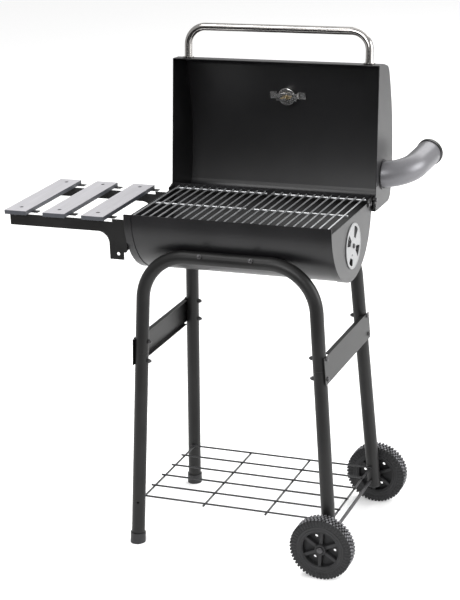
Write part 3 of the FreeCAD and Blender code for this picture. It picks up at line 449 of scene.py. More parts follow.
def plain_brass(tones):
    made = Recipe("plain_brass", Metallic=1.0)
    tarnish = made.grain(made.place(), 130.0, 4.0)
    made.feed("Base Color", made.mix(made.step(tarnish, 0.35, 0.7), tones.brass,
                                     shade(tones.brass, 0.55)))
    made.feed("Roughness", made.step(tarnish, 0.3, 0.75, 0.24, 0.44))
    made.bump(tarnish, 0.06, 0.0002)
    return made.material


def clear_glass(tones):
    """The thin lens over the dial, with a little dust on it."""
    made = Recipe("clear_glass", Base_Color=(0.96, 0.98, 0.98, 1.0), IOR=1.3,
                  Specular_IOR_Level=0.5)
    dust = made.grain(made.place(), 240.0, 4.0)
    made.feed("Roughness", made.step(dust, 0.4, 0.8, 0.03, 0.12))
    made.feed("Alpha", made.step(dust, 0.4, 0.85, 0.10, 0.18))
    return made.material


def table_board(tones):
    """Board with a faint straight grain: faces pointing up or down painted pale as a painted
    reflection of the overhead light, dark edges.
    """
    made = Recipe("table_board", Specular_IOR_Level=0.45)
    grain = made.grain(made.place(scale=(420, 9, 60)), 1.0, 4.0, 0.6)
    cloud = made.grain(made.place(), 16.0, 2.0)
    face = made.mix(made.step(grain, 0.3, 0.72), shade(tones.board, 0.90),
                    shade(tones.board, 1.05))
    face = made.mix(made.step(cloud, 0.45, 0.8) * 0.35, face, shade(tones.board, 0.84))
    # Painted reflection: faces pointing up or down get the pale tone standing for the overhead
    # light's glare; side faces keep the dark tone.
    raw = made.node("ShaderNodeTexCoord", output="Normal")
    upward = made.node("ShaderNodeSeparateXYZ", None, {"Vector": raw}, output=2)
    edge = made.mix(grain, shade(tones.board_edge, 0.8), shade(tones.board_edge, 1.25))
    flat = made.step(made.node("ShaderNodeMath", {"operation": "ABSOLUTE"}, {0: upward}),
                     0.60, 0.86)
    made.feed("Base Color", made.mix(flat, edge, face))
    made.feed("Roughness", 0.44 + grain * 0.12)
    made.bump(grain, 0.10, 0.0002)
    return made.material


def wheel_plastic(tones):
    """Moulded plastic: dull, finely pitted; the outermost tread is paler, partly scuffing where it
    touches the ground and partly a painted highlight of the light on the knob tops.
    """
    low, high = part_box("wheel_tyre_front")
    middle = (low + high) / 2
    made = Recipe("wheel_plastic", Specular_IOR_Level=0.32)
    around = made.place((middle.x, 0, middle.z), (1, 0, 1))
    out = made.node("ShaderNodeVectorMath", {"operation": "LENGTH"}, {0: around}, output="Value")
    pits = made.grain(made.place(), 1100.0, 2.0)
    cloud = made.grain(made.place(), 38.0, 3.0)
    tread = (high.z - low.z) / 2
    # Scuffing and painted highlight: the knob tops are made paler both as wear and as the light
    # falling on them.
    scuff_and_sheen = made.step(out, tread - 0.0012, tread) * made.step(cloud, 0.3, 0.62)
    base = made.mix(cloud, shade(tones.wheel, 0.80), shade(tones.wheel, 1.22))
    made.feed("Base Color", made.mix(scuff_and_sheen * 0.8, base, shade(tones.wheel, 12.0)))
    made.feed("Roughness", 0.50 + pits * 0.10 + scuff_and_sheen * 0.12)
    made.bump(pits, 0.16, 0.0003)
    return made.material


def foot_plastic(tones):
    made = Recipe("foot_plastic", Specular_IOR_Level=0.4)
    pits = made.grain(made.place(), 900.0, 2.0)
    cloud = made.grain(made.place(), 60.0, 2.0)
    made.feed("Base Color", made.mix(cloud, shade(tones.foot, 0.8), shade(tones.foot, 1.4)))
    made.feed("Roughness", 0.46 + pits * 0.12)
    made.bump(pits, 0.12, 0.0002)
    return made.material


def dial_print(tones):
    """Matt dial: marks round a sweep, a coloured band inside them."""
    sizes = bpy.context.scene.grill_gauge
    low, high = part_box("gauge_dial")
    middle = (low + high) / 2
    axis = gauge_axis()
    side = Vector((1, 0, 0))
    up = axis.cross(side)
    made = Recipe("dial_print", Specular_IOR_Level=0.35)
    where = made.place(middle)

    def along(direction):
        return made.node("ShaderNodeVectorMath", {"operation": "DOT_PRODUCT"},
                         {0: where, 1: tuple(direction)}, output="Value")

    across, rise = along(side), along(up)
    out = made.node("ShaderNodeMath", {"operation": "SQRT"}, {0: across ** 2 + rise ** 2})
    angle = made.node("ShaderNodeMath", {"operation": "ARCTAN2"}, {0: across, 1: rise})
    gap = sizes.sweep / (sizes.ticks - 1)
    beat = made.node("ShaderNodeMath", {"operation": "PINGPONG"}, {0: angle, 1: gap / 2})
    inside = made.node("ShaderNodeMath", {"operation": "ABSOLUTE"}, {0: angle})
    swept = inside < sizes.sweep / 2 + gap / 4
    mark = made.step(beat * out, 0.00022, 0.00036, 1.0, 0.0) * (out > 0.0158) * (out < 0.0196)
    band = (out > 0.0128) * (out < 0.0146) * swept
    hot = made.step(angle, -0.9, 0.9)
    paper = made.mix(made.grain(made.place(), 300.0), shade(tones.dial, 0.93), tones.dial)
    zone = made.mix(hot, (0.10, 0.22, 0.42), (0.52, 0.06, 0.03))
    made.feed("Base Color", made.mix(mark * swept, made.mix(band, paper, zone),
                                     (0.03, 0.03, 0.03)))
    made.feed("Roughness", 0.5 + made.grain(made.place(), 500.0) * 0.1)
    return made.material


def needle_paint(tones):
    made = Recipe("needle_paint", Specular_IOR_Level=0.4)
    cloud = made.grain(made.place(), 400.0, 2.0)
    made.feed("Base Color", made.mix(cloud, shade(tones.needle, 0.85), shade(tones.needle, 1.15)))
    made.feed("Roughness", 0.42 + cloud * 0.12)
    return made.material


FINISHES = {
    "black_enamel": satin_enamel,
    "grey_enamel": grey_enamel,
    "black_paint": satin_paint,
    "black_wire": coated_wire,
    "chrome": bright_chrome,
    "black_zinc": black_zinc,
    "pale_zinc": pale_zinc,
    "gauge_steel": polished_steel,
    "brass": plain_brass,
    "glass": clear_glass,
    "dial_white": dial_print,
    "needle_red": needle_paint,
    "slat_grey": table_board,
    "wheel_black": wheel_plastic,
    "foot_black": foot_plastic,
}
RODS = ("cooking_grate_left", "cooking_grate_right")
finished = {}


# ---------------------------------------------------------------- modelling

def pointing(centre, axis):
    """A frame at centre whose Z runs along axis."""
    return Matrix.Translation(centre) @ Vector(axis).to_track_quat("Z", "Y").to_matrix().to_4x4()


def settle(made, nodes, body, name, soften=0.0, angle=40.0):
    """Clean the mesh, round its sharp edges and put it in the scene in place of CAD nodes."""
    bmesh.ops.remove_doubles(made, verts=made.verts, dist=1e-6)
    bmesh.ops.recalc_face_normals(made, faces=made.faces)
    if soften:
        sharp = [edge for edge in made.edges
                 if len(edge.link_faces) == 2 and edge.calc_face_angle(0) > math.radians(angle)]
        round_off(made, sharp, soften)
    mesh = bpy.data.meshes.new(name)
    for face in made.faces:
        face.smooth = True
    for edge in made.edges:
        edge.smooth = len(edge.link_faces) < 2 or edge.calc_face_angle(0) < math.radians(angle)
    made.to_mesh(mesh)
    made.free()
    piece = bpy.data.objects.new(name, mesh)
    bpy.context.scene.collection.objects.link(piece)
    slot = SLOT_OF[nodes[0]]
    mesh.materials.append(finished[slot])
    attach(piece, body)
    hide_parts(*nodes)
    return piece


def round_off(made, edges, width, segments=2):
    bmesh.ops.bevel(made, geom=edges, offset=width, offset_type="OFFSET", segments=segments,
                    profile=0.5, affect="EDGES", clamp_overlap=True, material=-1)


def lathe(made, outline, place, steps=64, closed=True):
    """Turn an outline of (distance from the axis, distance along it) into a round piece."""
    verts = [made.verts.new(place @ Vector((out, 0, along))) for out, along in outline]
    pairs = list(zip(verts, verts[1:]))
    if closed:
        pairs.append((verts[-1], verts[0]))
    edges = [made.edges.new(pair) for pair in pairs]
    bmesh.ops.spin(made, geom=verts + edges, cent=place.translation,
                   axis=place.to_3x3() @ Vector((0, 0, 1)), angle=FULL_TURN, steps=steps,
                   use_merge=True)


def ring_of(made, place, radius, facets):
    verts = bmesh.ops.create_circle(made, cap_ends=False, radius=radius, segments=facets,
                                    matrix=place)["verts"]
    return verts, list({edge for vert in verts for edge in vert.link_edges})


def closed_loop(made, place, points):
    verts = [made.verts.new(place @ Vector((x, y, 0))) for x, y in points]
    return [made.edges.new(pair) for pair in zip(verts, verts[1:] + verts[:1])]


def pierced_plate(made, place, loops, thickness):
    """A flat plate between its outer loop and its holes, with its thickness along place's Z."""
    edges = [edge for loop in loops for edge in loop]
    facing = place.to_3x3() @ Vector((0, 0, 1))
    filled = bmesh.ops.triangle_fill(made, use_beauty=True, edges=edges, normal=facing)["geom"]
    faces = [part for part in filled if isinstance(part, bmesh.types.BMFace)]
    grown = bmesh.ops.extrude_face_region(made, geom=faces, use_keep_orig=True)["geom"]
    lifted = [part for part in grown if isinstance(part, bmesh.types.BMVert)]
    bmesh.ops.translate(made, verts=lifted, vec=facing * thickness)


def block(made, place, size):
    """A box centred on place; its edges are returned for rounding."""
    verts = bmesh.ops.create_cube(made, size=1.0,
                                  matrix=place @ Matrix.Diagonal((*size, 1.0)))["verts"]
    return list({edge for vert in verts for edge in vert.link_edges})


def islands(node):
    """The separate solids of a CAD node, each as a list of points."""
    made = bmesh.new()
    made.from_mesh(frame["nodes"][node].data)
    bmesh.ops.remove_doubles(made, verts=made.verts, dist=2e-6)
    left = set(made.verts)
    found = []
    while left:
        front = [left.pop()]
        group = list(front)
        while front:
            here = front.pop()
            near = {edge.other_vert(here) for edge in here.link_edges} & left
            left -= near
            front.extend(near)
            group.extend(near)
        found.append([vert.co.copy() for vert in group])
    made.free()
    return found


def measure_bolt(points):
    """Where a bolt's head is, which way it faces, and its radii, read from its CAD solid."""
    cloud = numpy.array(points)
    middle = cloud.mean(axis=0)
    spread, ways = numpy.linalg.eigh(numpy.cov((cloud - middle).T))
    lone = 2 if spread[2] - spread[1] > spread[1] - spread[0] else 0
    axis = ways[:, lone]
    along = (cloud - middle) @ axis
    out = numpy.linalg.norm(cloud - middle - numpy.outer(along, axis), axis=1)
    radius = out.max()
    if along[out > 0.9 * radius].mean() < 0:
        axis, along = -axis, -along
    top, tip = along.max(), along.min()
    shank = out[along < tip + 0.2 * MM].max()
    rim_low = top - along[out > 0.9 * radius].min()
    neck = top - along[out < 1.06 * shank].max()
    place = pointing(Vector(middle + top * axis), Vector(axis))
    return place, radius, shank, rim_low, neck, top - tip


def reach(node, place):
    """Lowest and highest place of a node along place's Z, and its largest distance from it."""
    back = place.inverted()
    points = [back @ vert.co for vert in frame["nodes"][node].data.vertices]
    return (min(point.z for point in points), max(point.z for point in points),
            max(point.xy.length for point in points))


def grow(made, edges, place, widen, advance):
    """Pull a ring of edges along place's Z and widen it about that axis."""
    grown = bmesh.ops.extrude_edge_only(made, edges=edges)["geom"]
    verts = [part for part in grown if isinstance(part, bmesh.types.BMVert)]
    bmesh.ops.scale(made, verts=verts, vec=(widen, widen, 1.0), space=place.inverted())
    bmesh.ops.translate(made, verts=verts, vec=place.to_3x3() @ Vector((0, 0, advance)))
    return [part for part in grown if isinstance(part, bmesh.types.BMEdge)
            and all(vert in verts for vert in part.verts)]


def follow(made, edges, place, outline, radius):
    """Grow a ring through each (radius, depth) of outline in turn, and close its end."""
    depth = 0.0
    for next_radius, next_depth in outline:
        edges = grow(made, edges, place, next_radius / radius, depth - next_depth)
        radius, depth = next_radius, next_depth
    bmesh.ops.edgeloop_fill(made, edges=edges)


def cross_outline(half, wide):
    corner = wide / 2
    quarter = [(half, -corner), (half, corner), (corner, corner)]
    points = []
    for step in range(4):
        swing = Matrix.Rotation(step * math.pi / 2, 2)
        points += [tuple(swing @ Vector(point)) for point in quarter]
    return points


def crossed_head(made, place, flat, sizes):
    """The flat top of a screw head with its cross recess; its outer edge is returned."""
    edge = ring_of(made, place, flat, sizes.facets)[1]
    cross = closed_loop(made, place, cross_outline(min(sizes.cross_long, 0.72 * flat),
                                                   sizes.cross_wide))
    bmesh.ops.triangle_fill(made, use_beauty=True, edges=edge + cross,
                            normal=place.to_3x3() @ Vector((0, 0, 1)))
    floor = grow(made, cross, place, 0.7, -sizes.cross_deep)
    bmesh.ops.edgeloop_fill(made, edges=floor)
    return edge


def screw(made, points, sizes):
    """A pan head, or a flat head where the CAD one is countersunk, on its shank."""
    place, radius, shank, rim_low, neck, length = measure_bolt(points)
    if neck - rim_low > 0.5 * MM:
        flat = radius * 0.94
        outline = [(radius, 0.15 * MM), (radius, 0.4 * MM), (shank, neck)]
    else:
        flat = radius * 0.58
        outline = [(radius * 0.80, neck * 0.10), (radius * 0.94, neck * 0.32),
                   (radius, neck * 0.66), (radius * 0.985, neck * 0.97), (shank, neck)]
    outline += [(shank, length - 0.4 * MM), (shank * 0.8, length)]
    edge = crossed_head(made, place, flat, sizes)
    follow(made, edge, place, outline, flat)


def softened(node, width, angle=35.0):
    """A merged copy of a CAD node with its flat faces joined and its sharp edges rounded."""
    made = bmesh.new()
    made.from_mesh(frame["nodes"][node].data)
    bmesh.ops.remove_doubles(made, verts=made.verts, dist=2e-6)
    bmesh.ops.dissolve_limit(made, angle_limit=math.radians(0.4), verts=made.verts,
                             edges=made.edges)
    piece = settle(made, [node], body_of(node), node + "_finished", soften=width, angle=angle)
    weigh_normals(piece)
    return piece


def weigh_normals(piece):
    """Keep flat faces flat beside their rounded edges."""
    weighing = piece.modifiers.new("Weighted normals", "WEIGHTED_NORMAL")
    weighing.keep_sharp = True
    weighing.weight = 90


def body_of(node):
    return frame["nodes"][node]["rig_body"]


def gauge_axis():
    hinge = next(joint for joint in frame["joints"] if joint["name"] == "needle_turn")
    return Vector(hinge["axis"]).normalized()


def gauge_place():
    """The thermometer's own frame: Z outwards from the lid, X along the lid."""
    low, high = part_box("gauge_dial")
    axis = gauge_axis()
    side = Vector((1, 0, 0))
    turned = Matrix((side, axis.cross(side), axis)).transposed().to_4x4()
    return Matrix.Translation((low + high) / 2) @ turned


# ---------------------------------------------------------------- operators

class GRILL_OT_finishes(bpy.types.Operator):
    """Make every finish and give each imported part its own"""
    bl_idname = "grill.finishes"
    bl_label = "Finishes"

    def execute(self, context):
        for slot, recipe in FINISHES.items():
            finished[slot] = recipe(context.scene.grill_colours)
        for node, part in frame["nodes"].items():
            part.data.materials.clear()
            part.data.materials.append(finished[SLOT_OF[node]])
        rod_finish = plated_wire(context.scene.grill_colours)
        for node in RODS:
            frame["nodes"][node].data.materials[0] = rod_finish
        return {"FINISHED"}


class GRILL_OT_tyres(bpy.types.Operator):
    """Model both tyres: knobs in staggered rows, ribs and rings on the walls"""
    bl_idname = "grill.tyres"
    bl_label = "Tyres"

    def execute(self, context):
        for side in ("front", "rear"):
            self.tyre(f"wheel_tyre_{side}", context.scene.grill_wheels)
        return {"FINISHED"}

    def tyre(self, node, sizes):
        low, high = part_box(node)
        place = pointing((low + high) / 2, (0, 1, 0))
        radius, half = (high.z - low.z) / 2, (high.y - low.y) / 2
        made = bmesh.new()
        root = radius - sizes.knob_deep
        wall = [(sizes.rim, half - 2.2 * MM), (sizes.rim + 1.5 * MM, half - 0.9 * MM),
                (sizes.rim + 4.5 * MM, half - 0.3 * MM), (sizes.rim + 5.5 * MM, half - 1.1 * MM),
                (sizes.rim + 7.0 * MM, half - 1.1 * MM), (sizes.rim + 8.0 * MM, half - 0.3 * MM),
                (sizes.rim + 11.5 * MM, half - 0.1 * MM), (sizes.rim + 12.5 * MM, half - 1.3 * MM),
                (root - 3.0 * MM, half - 1.5 * MM), (root - 0.8 * MM, half - 2.4 * MM),
                (root, half - 4.0 * MM)]
        lathe(made, wall + [(out, -along) for out, along in reversed(wall)], place, steps=104)
        edges = []
        step = FULL_TURN / sizes.knobs
        lane = 2 * (half - 1.2 * MM) / sizes.knob_rows
        for row in range(sizes.knob_rows):
            across = (row - (sizes.knob_rows - 1) / 2) * lane
            for number in range(sizes.knobs):
                swing = Matrix.Rotation((number + 0.5 * (row % 2)) * step, 4, "Z")
                knob = Matrix.Translation((radius - sizes.knob_deep * 0.75, 0, across))
                edges += block(made, place @ swing @ knob,
                               (sizes.knob_deep * 1.5, sizes.knob_long, sizes.knob_wide))
        rib_in, rib_out = sizes.rim + 13.5 * MM, root - 0.5 * MM
        for face in (-1, 1):
            for number in range(sizes.knobs):
                swing = Matrix.Rotation((number + 0.25) * step, 4, "Z")
                rib = Matrix.Translation(((rib_in + rib_out) / 2, 0, face * (half - 1.6 * MM)))
                edges += block(made, place @ swing @ rib,
                               (rib_out - rib_in, sizes.knob_long * 0.62, 3.0 * MM))
        round_off(made, edges, 0.55 * MM, segments=1)
        settle(made, [node], body_of(node), node.replace("wheel_", "") + "_moulding")


class GRILL_OT_hubs(bpy.types.Operator):
    """Model both hubs: sunken web, spokes, a socketed boss and small drain holes"""
    bl_idname = "grill.hubs"
    bl_label = "Hubs"

    def execute(self, context):
        sizes = context.scene.grill_wheels
        self.hub("wheel_hub_front", sizes, sizes.front_turn)
        self.hub("wheel_hub_rear", sizes, sizes.rear_turn)
        return {"FINISHED"}

    def hub(self, node, sizes, rolled):
        low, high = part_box(node)
        place = pointing((low + high) / 2, (0, 1, 0)) @ Matrix.Rotation(rolled, 4, "Z")
        half = (high.y - low.y) / 2
        made = bmesh.new()
        lip = half - 3.0 * MM
        lathe(made, [(sizes.well, -lip), (sizes.rim + 0.2 * MM, -lip),
                     (sizes.rim + 0.2 * MM, lip), (sizes.well, lip)], place, steps=96)
        floor = half - 4.5 * MM
        lathe(made, [(sizes.bore, -floor), (sizes.socket, -floor), (sizes.socket, -half),
                     (sizes.boss, -half), (sizes.boss, half), (sizes.socket, half),
                     (sizes.socket, floor), (sizes.bore, floor)], place, steps=48)
        edges = [edge for edge in made.edges if edge.calc_face_angle(0) > math.radians(40)]
        step = FULL_TURN / sizes.spokes
        inner, outer = sizes.boss - 1.0 * MM, sizes.well + 0.8 * MM
        for number in range(sizes.spokes):
            swing = Matrix.Rotation(number * step, 4, "Z")
            edges += block(made, place @ swing @ Matrix.Translation(((inner + outer) / 2, 0, 0)),
                           (outer - inner, sizes.spoke_wide, sizes.spoke_deep))
        round_off(made, edges, 0.6 * MM)
        web = place @ Matrix.Translation((0, 0, -sizes.web / 2))
        loops = [ring_of(made, web, sizes.well + 0.6 * MM, 72)[1],
                 ring_of(made, web, sizes.boss - 0.6 * MM, 36)[1]]
        for number in range(0, sizes.spokes, 2):
            swing = Matrix.Rotation((number + 0.5) * step, 4, "Z")
            hole = web @ swing @ Matrix.Translation((sizes.drain_out, 0, 0))
            loops.append(ring_of(made, hole, sizes.drain, SMALL_HOLE)[1])
        pierced_plate(made, web, loops, sizes.web)
        settle(made, [node], body_of(node), node.replace("wheel_", "") + "_moulding")


class GRILL_OT_axle_caps(bpy.types.Operator):
    """Model the push-on caps at the ends of the axle"""
    bl_idname = "grill.axle_caps"
    bl_label = "Axle caps"

    def execute(self, context):
        low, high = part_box("axle_caps")
        middle = (low + high) / 2
        radius = (high.x - low.x) / 2
        thick = context.scene.grill_wheels.cap
        made = bmesh.new()
        for face in (-1, 1):
            place = pointing((middle.x, high.y if face > 0 else low.y, middle.z), (0, face, 0))
            lathe(made, [(0, 0), (radius * 0.45, -0.12 * MM), (radius * 0.62, -0.5 * MM),
                         (radius * 0.66, -1.3 * MM), (radius * 0.9, -1.6 * MM),
                         (radius, -2.2 * MM), (radius, -thick), (0, -thick)], place,
                  steps=40, closed=False)
        settle(made, ["axle_caps"], "cart", "axle_cap_pressings")
        return {"FINISHED"}


class GRILL_OT_fasteners(bpy.types.Operator):
    """Model the screws and bolts with domed or flat heads and cross recesses"""
    bl_idname = "grill.fasteners"
    bl_label = "Fasteners"
    nodes = ("brace_bolts", "frame_bolts", "table_bolts", "slat_screws", "handle_screws",
             "vent_screw")

    def execute(self, context):
        for node in self.nodes:
            made = bmesh.new()
            for points in islands(node):
                screw(made, points, context.scene.grill_fasteners)
            settle(made, [node], body_of(node), node.rstrip("s") + "_heads")
        return {"FINISHED"}


class GRILL_OT_lid_handle(bpy.types.Operator):
    """Bend the lid's tube handle"""
    bl_idname = "grill.lid_handle"
    bl_label = "Lid handle"

    def execute(self, context):
        sizes = context.scene.grill_lid
        low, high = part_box("lid_handle")
        hinge = next(joint for joint in frame["joints"] if joint["name"] == "lid_hinge")
        lean = math.radians(hinge["range_deg"][1] - 90)
        rise = Vector((0, math.sin(lean), math.cos(lean)))
        along = Vector((1, 0, 0))
        half = (high.x - low.x) / 2 - sizes.tube
        top = Vector(((low.x + high.x) / 2, high.y - sizes.tube, high.z - sizes.tube))
        leg = (high.z - low.z - sizes.tube * (1 + math.sin(lean))) / math.cos(lean)
        made = bmesh.new()
        foot = pointing(top - rise * leg - along * half, rise)
        edges = ring_of(made, foot, sizes.tube, sizes.facets)[1]
        bmesh.ops.edgeloop_fill(made, edges=edges)
        edges = grow(made, edges, foot, 1.0, leg - sizes.bend)
        bend_axis = rise.cross(along)
        corner = top - along * (half - sizes.bend) - rise * sizes.bend
        edges = self.swing(made, edges, corner, bend_axis)
        across = pointing(top, along)
        for _ in range(4):
            edges = grow(made, edges, across, 1.0, (half - sizes.bend) / 2)
        corner = top + along * (half - sizes.bend) - rise * sizes.bend
        edges = self.swing(made, edges, corner, bend_axis)
        down = pointing(top + along * half, -rise)
        edges = grow(made, edges, down, 1.0, leg - sizes.bend)
        bmesh.ops.edgeloop_fill(made, edges=edges)
        settle(made, ["lid_handle"], "lid", "lid_handle_tube")
        return {"FINISHED"}

    def swing(self, made, edges, centre, axis):
        """Carry a ring of edges a quarter turn round centre."""
        verts = list({vert for edge in edges for vert in edge.verts})
        last = bmesh.ops.spin(made, geom=verts + edges, cent=centre, axis=axis,
                              angle=math.pi / 2, steps=20)["geom_last"]
        return [part for part in last if isinstance(part, bmesh.types.BMEdge)]


class GRILL_OT_vent_disc(bpy.types.Operator):
    """Press the air vent's disc: windows, a stop hole and a raised rim"""
    bl_idname = "grill.vent_disc"
    bl_label = "Vent disc"

    def execute(self, context):
        sizes = context.scene.grill_vent
        low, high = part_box("vent_disc")
        radius = (high.y - low.y) / 2
        facing = Matrix(((0, 0, 1), (1, 0, 0), (0, 1, 0))).to_4x4()
        middle = (low + high) / 2
        place = Matrix.Translation((low.x, middle.y, middle.z)) @ facing
        thick = (high.x - low.x) * 0.62
        made = bmesh.new()
        loops = [ring_of(made, place, radius, 96)[1]]
        for number in range(sizes.windows):
            lead = sizes.lead + number * FULL_TURN / sizes.windows
            inner = sizes.short_inner if number == 2 else sizes.window_inner
            loops.append(closed_loop(made, place, self.window(lead, inner, sizes)))
        below = Matrix.Rotation(sizes.lead + math.pi, 4, "Z")
        stop = place @ below @ Matrix.Translation((sizes.stop_out, 0, 0))
        loops += [ring_of(made, place, sizes.screw_hole, SMALL_HOLE)[1],
                  ring_of(made, stop, sizes.stop_hole, SMALL_HOLE)[1]]
        pierced_plate(made, place, loops, thick)
        bead = high.x - low.x
        lathe(made, [(radius - sizes.rim, thick - 0.3 * MM), (radius - sizes.rim * 0.8, bead * 0.9),
                     (radius - sizes.rim * 0.5, bead), (radius - sizes.rim * 0.2, bead * 0.9),
                     (radius, thick - 0.2 * MM)], place, steps=96)
        piece = settle(made, ["vent_disc"], "vent", "vent_disc_pressing", soften=0.25 * MM,
                       angle=50)
        weigh_normals(piece)
        return {"FINISHED"}

    def window(self, lead, inner, sizes):
        """A window with two arcs and rounded corners, anticlockwise."""
        half = sizes.window_wide / 2
        points = []
        for radius, ends in ((sizes.window_outer, (-half, half)),
                             (inner, (half, -half))):
            for step in range(9):
                swing = lead + ends[0] + (ends[1] - ends[0]) * step / 8
                inset = 1.2 * MM if step in (0, 8) else 0.0
                away = radius - math.copysign(inset, radius - (inner + sizes.window_outer) / 2)
                points.append((away * math.cos(swing), away * math.sin(swing)))
        return points


class GRILL_OT_thermometer(bpy.types.Operator):
    """Model the thermometer: cup, rolled bezel, domed lens and wing nut"""
    bl_idname = "grill.thermometer"
    bl_label = "Thermometer"

    def execute(self, context):
        sizes = context.scene.grill_gauge
        place = gauge_place()
        self.case(place, sizes)
        self.bezel(place, sizes)
        self.lens(place)
        self.wing_nut(place, sizes)
        return {"FINISHED"}

    def case(self, place, sizes):
        low, high, radius = reach("gauge_case", place)
        cup = high - sizes.cup_deep
        made = bmesh.new()
        lathe(made, [(0, cup + 1.5 * MM), (radius - 3.0 * MM, cup + 1.5 * MM),
                     (radius - 1.2 * MM, cup + 3.0 * MM), (radius - 1.2 * MM, high),
                     (radius, high), (radius, cup + 2.2 * MM), (radius - 0.7 * MM, cup + 0.7 * MM),
                     (radius - 2.2 * MM, cup), (radius * 0.62, cup),
                     (radius * 0.56, cup + 0.6 * MM),
                     (4.5 * MM, cup + 0.6 * MM), (3.6 * MM, cup), (sizes.stud, cup - 0.6 * MM),
                     (sizes.stud, low + 0.4 * MM), (sizes.stud - 0.4 * MM, low), (0, low)],
              place, steps=64, closed=False)
        settle(made, ["gauge_case"], "lid", "gauge_cup")

    def bezel(self, place, sizes):
        low, high, radius = reach("gauge_bezel", place)
        inner = sizes.window
        made = bmesh.new()
        lathe(made, [(inner, low), (radius - 0.6 * MM, low), (radius, low + 0.8 * MM),
                     (radius - 0.4 * MM, high - 5.5 * MM), (radius - 1.8 * MM, high - 2.2 * MM),
                     (radius - 3.8 * MM, high - 0.4 * MM), (radius - 5.4 * MM, high),
                     (inner + 0.9 * MM, high - 0.5 * MM), (inner, high - 1.6 * MM)],
              place, steps=80)
        settle(made, ["gauge_bezel"], "lid", "gauge_bezel_ring", angle=50)

    def lens(self, place):
        low, high, radius = reach("gauge_lens", place)
        made = bmesh.new()
        lathe(made, [(0, low), (radius, low), (radius, low + 0.5 * MM),
                     (radius * 0.82, high - 0.6 * MM), (radius * 0.55, high - 0.25 * MM),
                     (radius * 0.28, high - 0.06 * MM), (0, high)], place, steps=64, closed=False)
        settle(made, ["gauge_lens"], "lid", "gauge_lens_dome")

    def wing_nut(self, place, sizes):
        low, high, _ = reach("gauge_wing_nut", place)
        bore = sizes.stud + 0.05 * MM
        made = bmesh.new()
        lathe(made, [(bore, low + 2.6 * MM), (4.0 * MM, low + 2.6 * MM),
                     (4.6 * MM, low + 3.4 * MM), (5.6 * MM, high - 0.6 * MM), (5.2 * MM, high),
                     (bore, high)], place, steps=36)
        edges = []
        for face in (-1, 1):
            lift = Matrix.Rotation(face * math.radians(22), 4, "Y")
            wing = Matrix.Translation((face * 8.2 * MM, 0, low + 5.2 * MM)) @ lift
            edges += block(made, place @ wing,
                           (sizes.wing_long, sizes.wing_thick, 7.4 * MM))
        round_off(made, edges, 0.9 * MM, segments=3)
        settle(made, ["gauge_wing_nut"], "lid", "gauge_wing_nut_casting")


class GRILL_OT_soft_edges(bpy.types.Operator):
    """Round the cut edges of sheet steel, boards and plastic parts"""
    bl_idname = "grill.soft_edges"
    bl_label = "Soft edges"
    widths = {
        "slat_outer": 0.8, "slat_middle": 0.8, "slat_inner": 0.8,
        "side_brace_left": 0.5, "side_brace_right": 0.5,
        "table_arm_front": 0.45, "table_arm_rear": 0.45,
        "hinge_bracket_left": 0.4, "hinge_bracket_right": 0.4,
        "foot_cap_front": 0.8, "foot_cap_rear": 0.8, "gauge_strap": 0.35,
        "hex_nuts": 0.4, "hinge_rivets": 0.35, "hinge_pins": 0.35,
    }

    def execute(self, context):
        for node, width in self.widths.items():
            softened(node, width * MM)
        return {"FINISHED"}


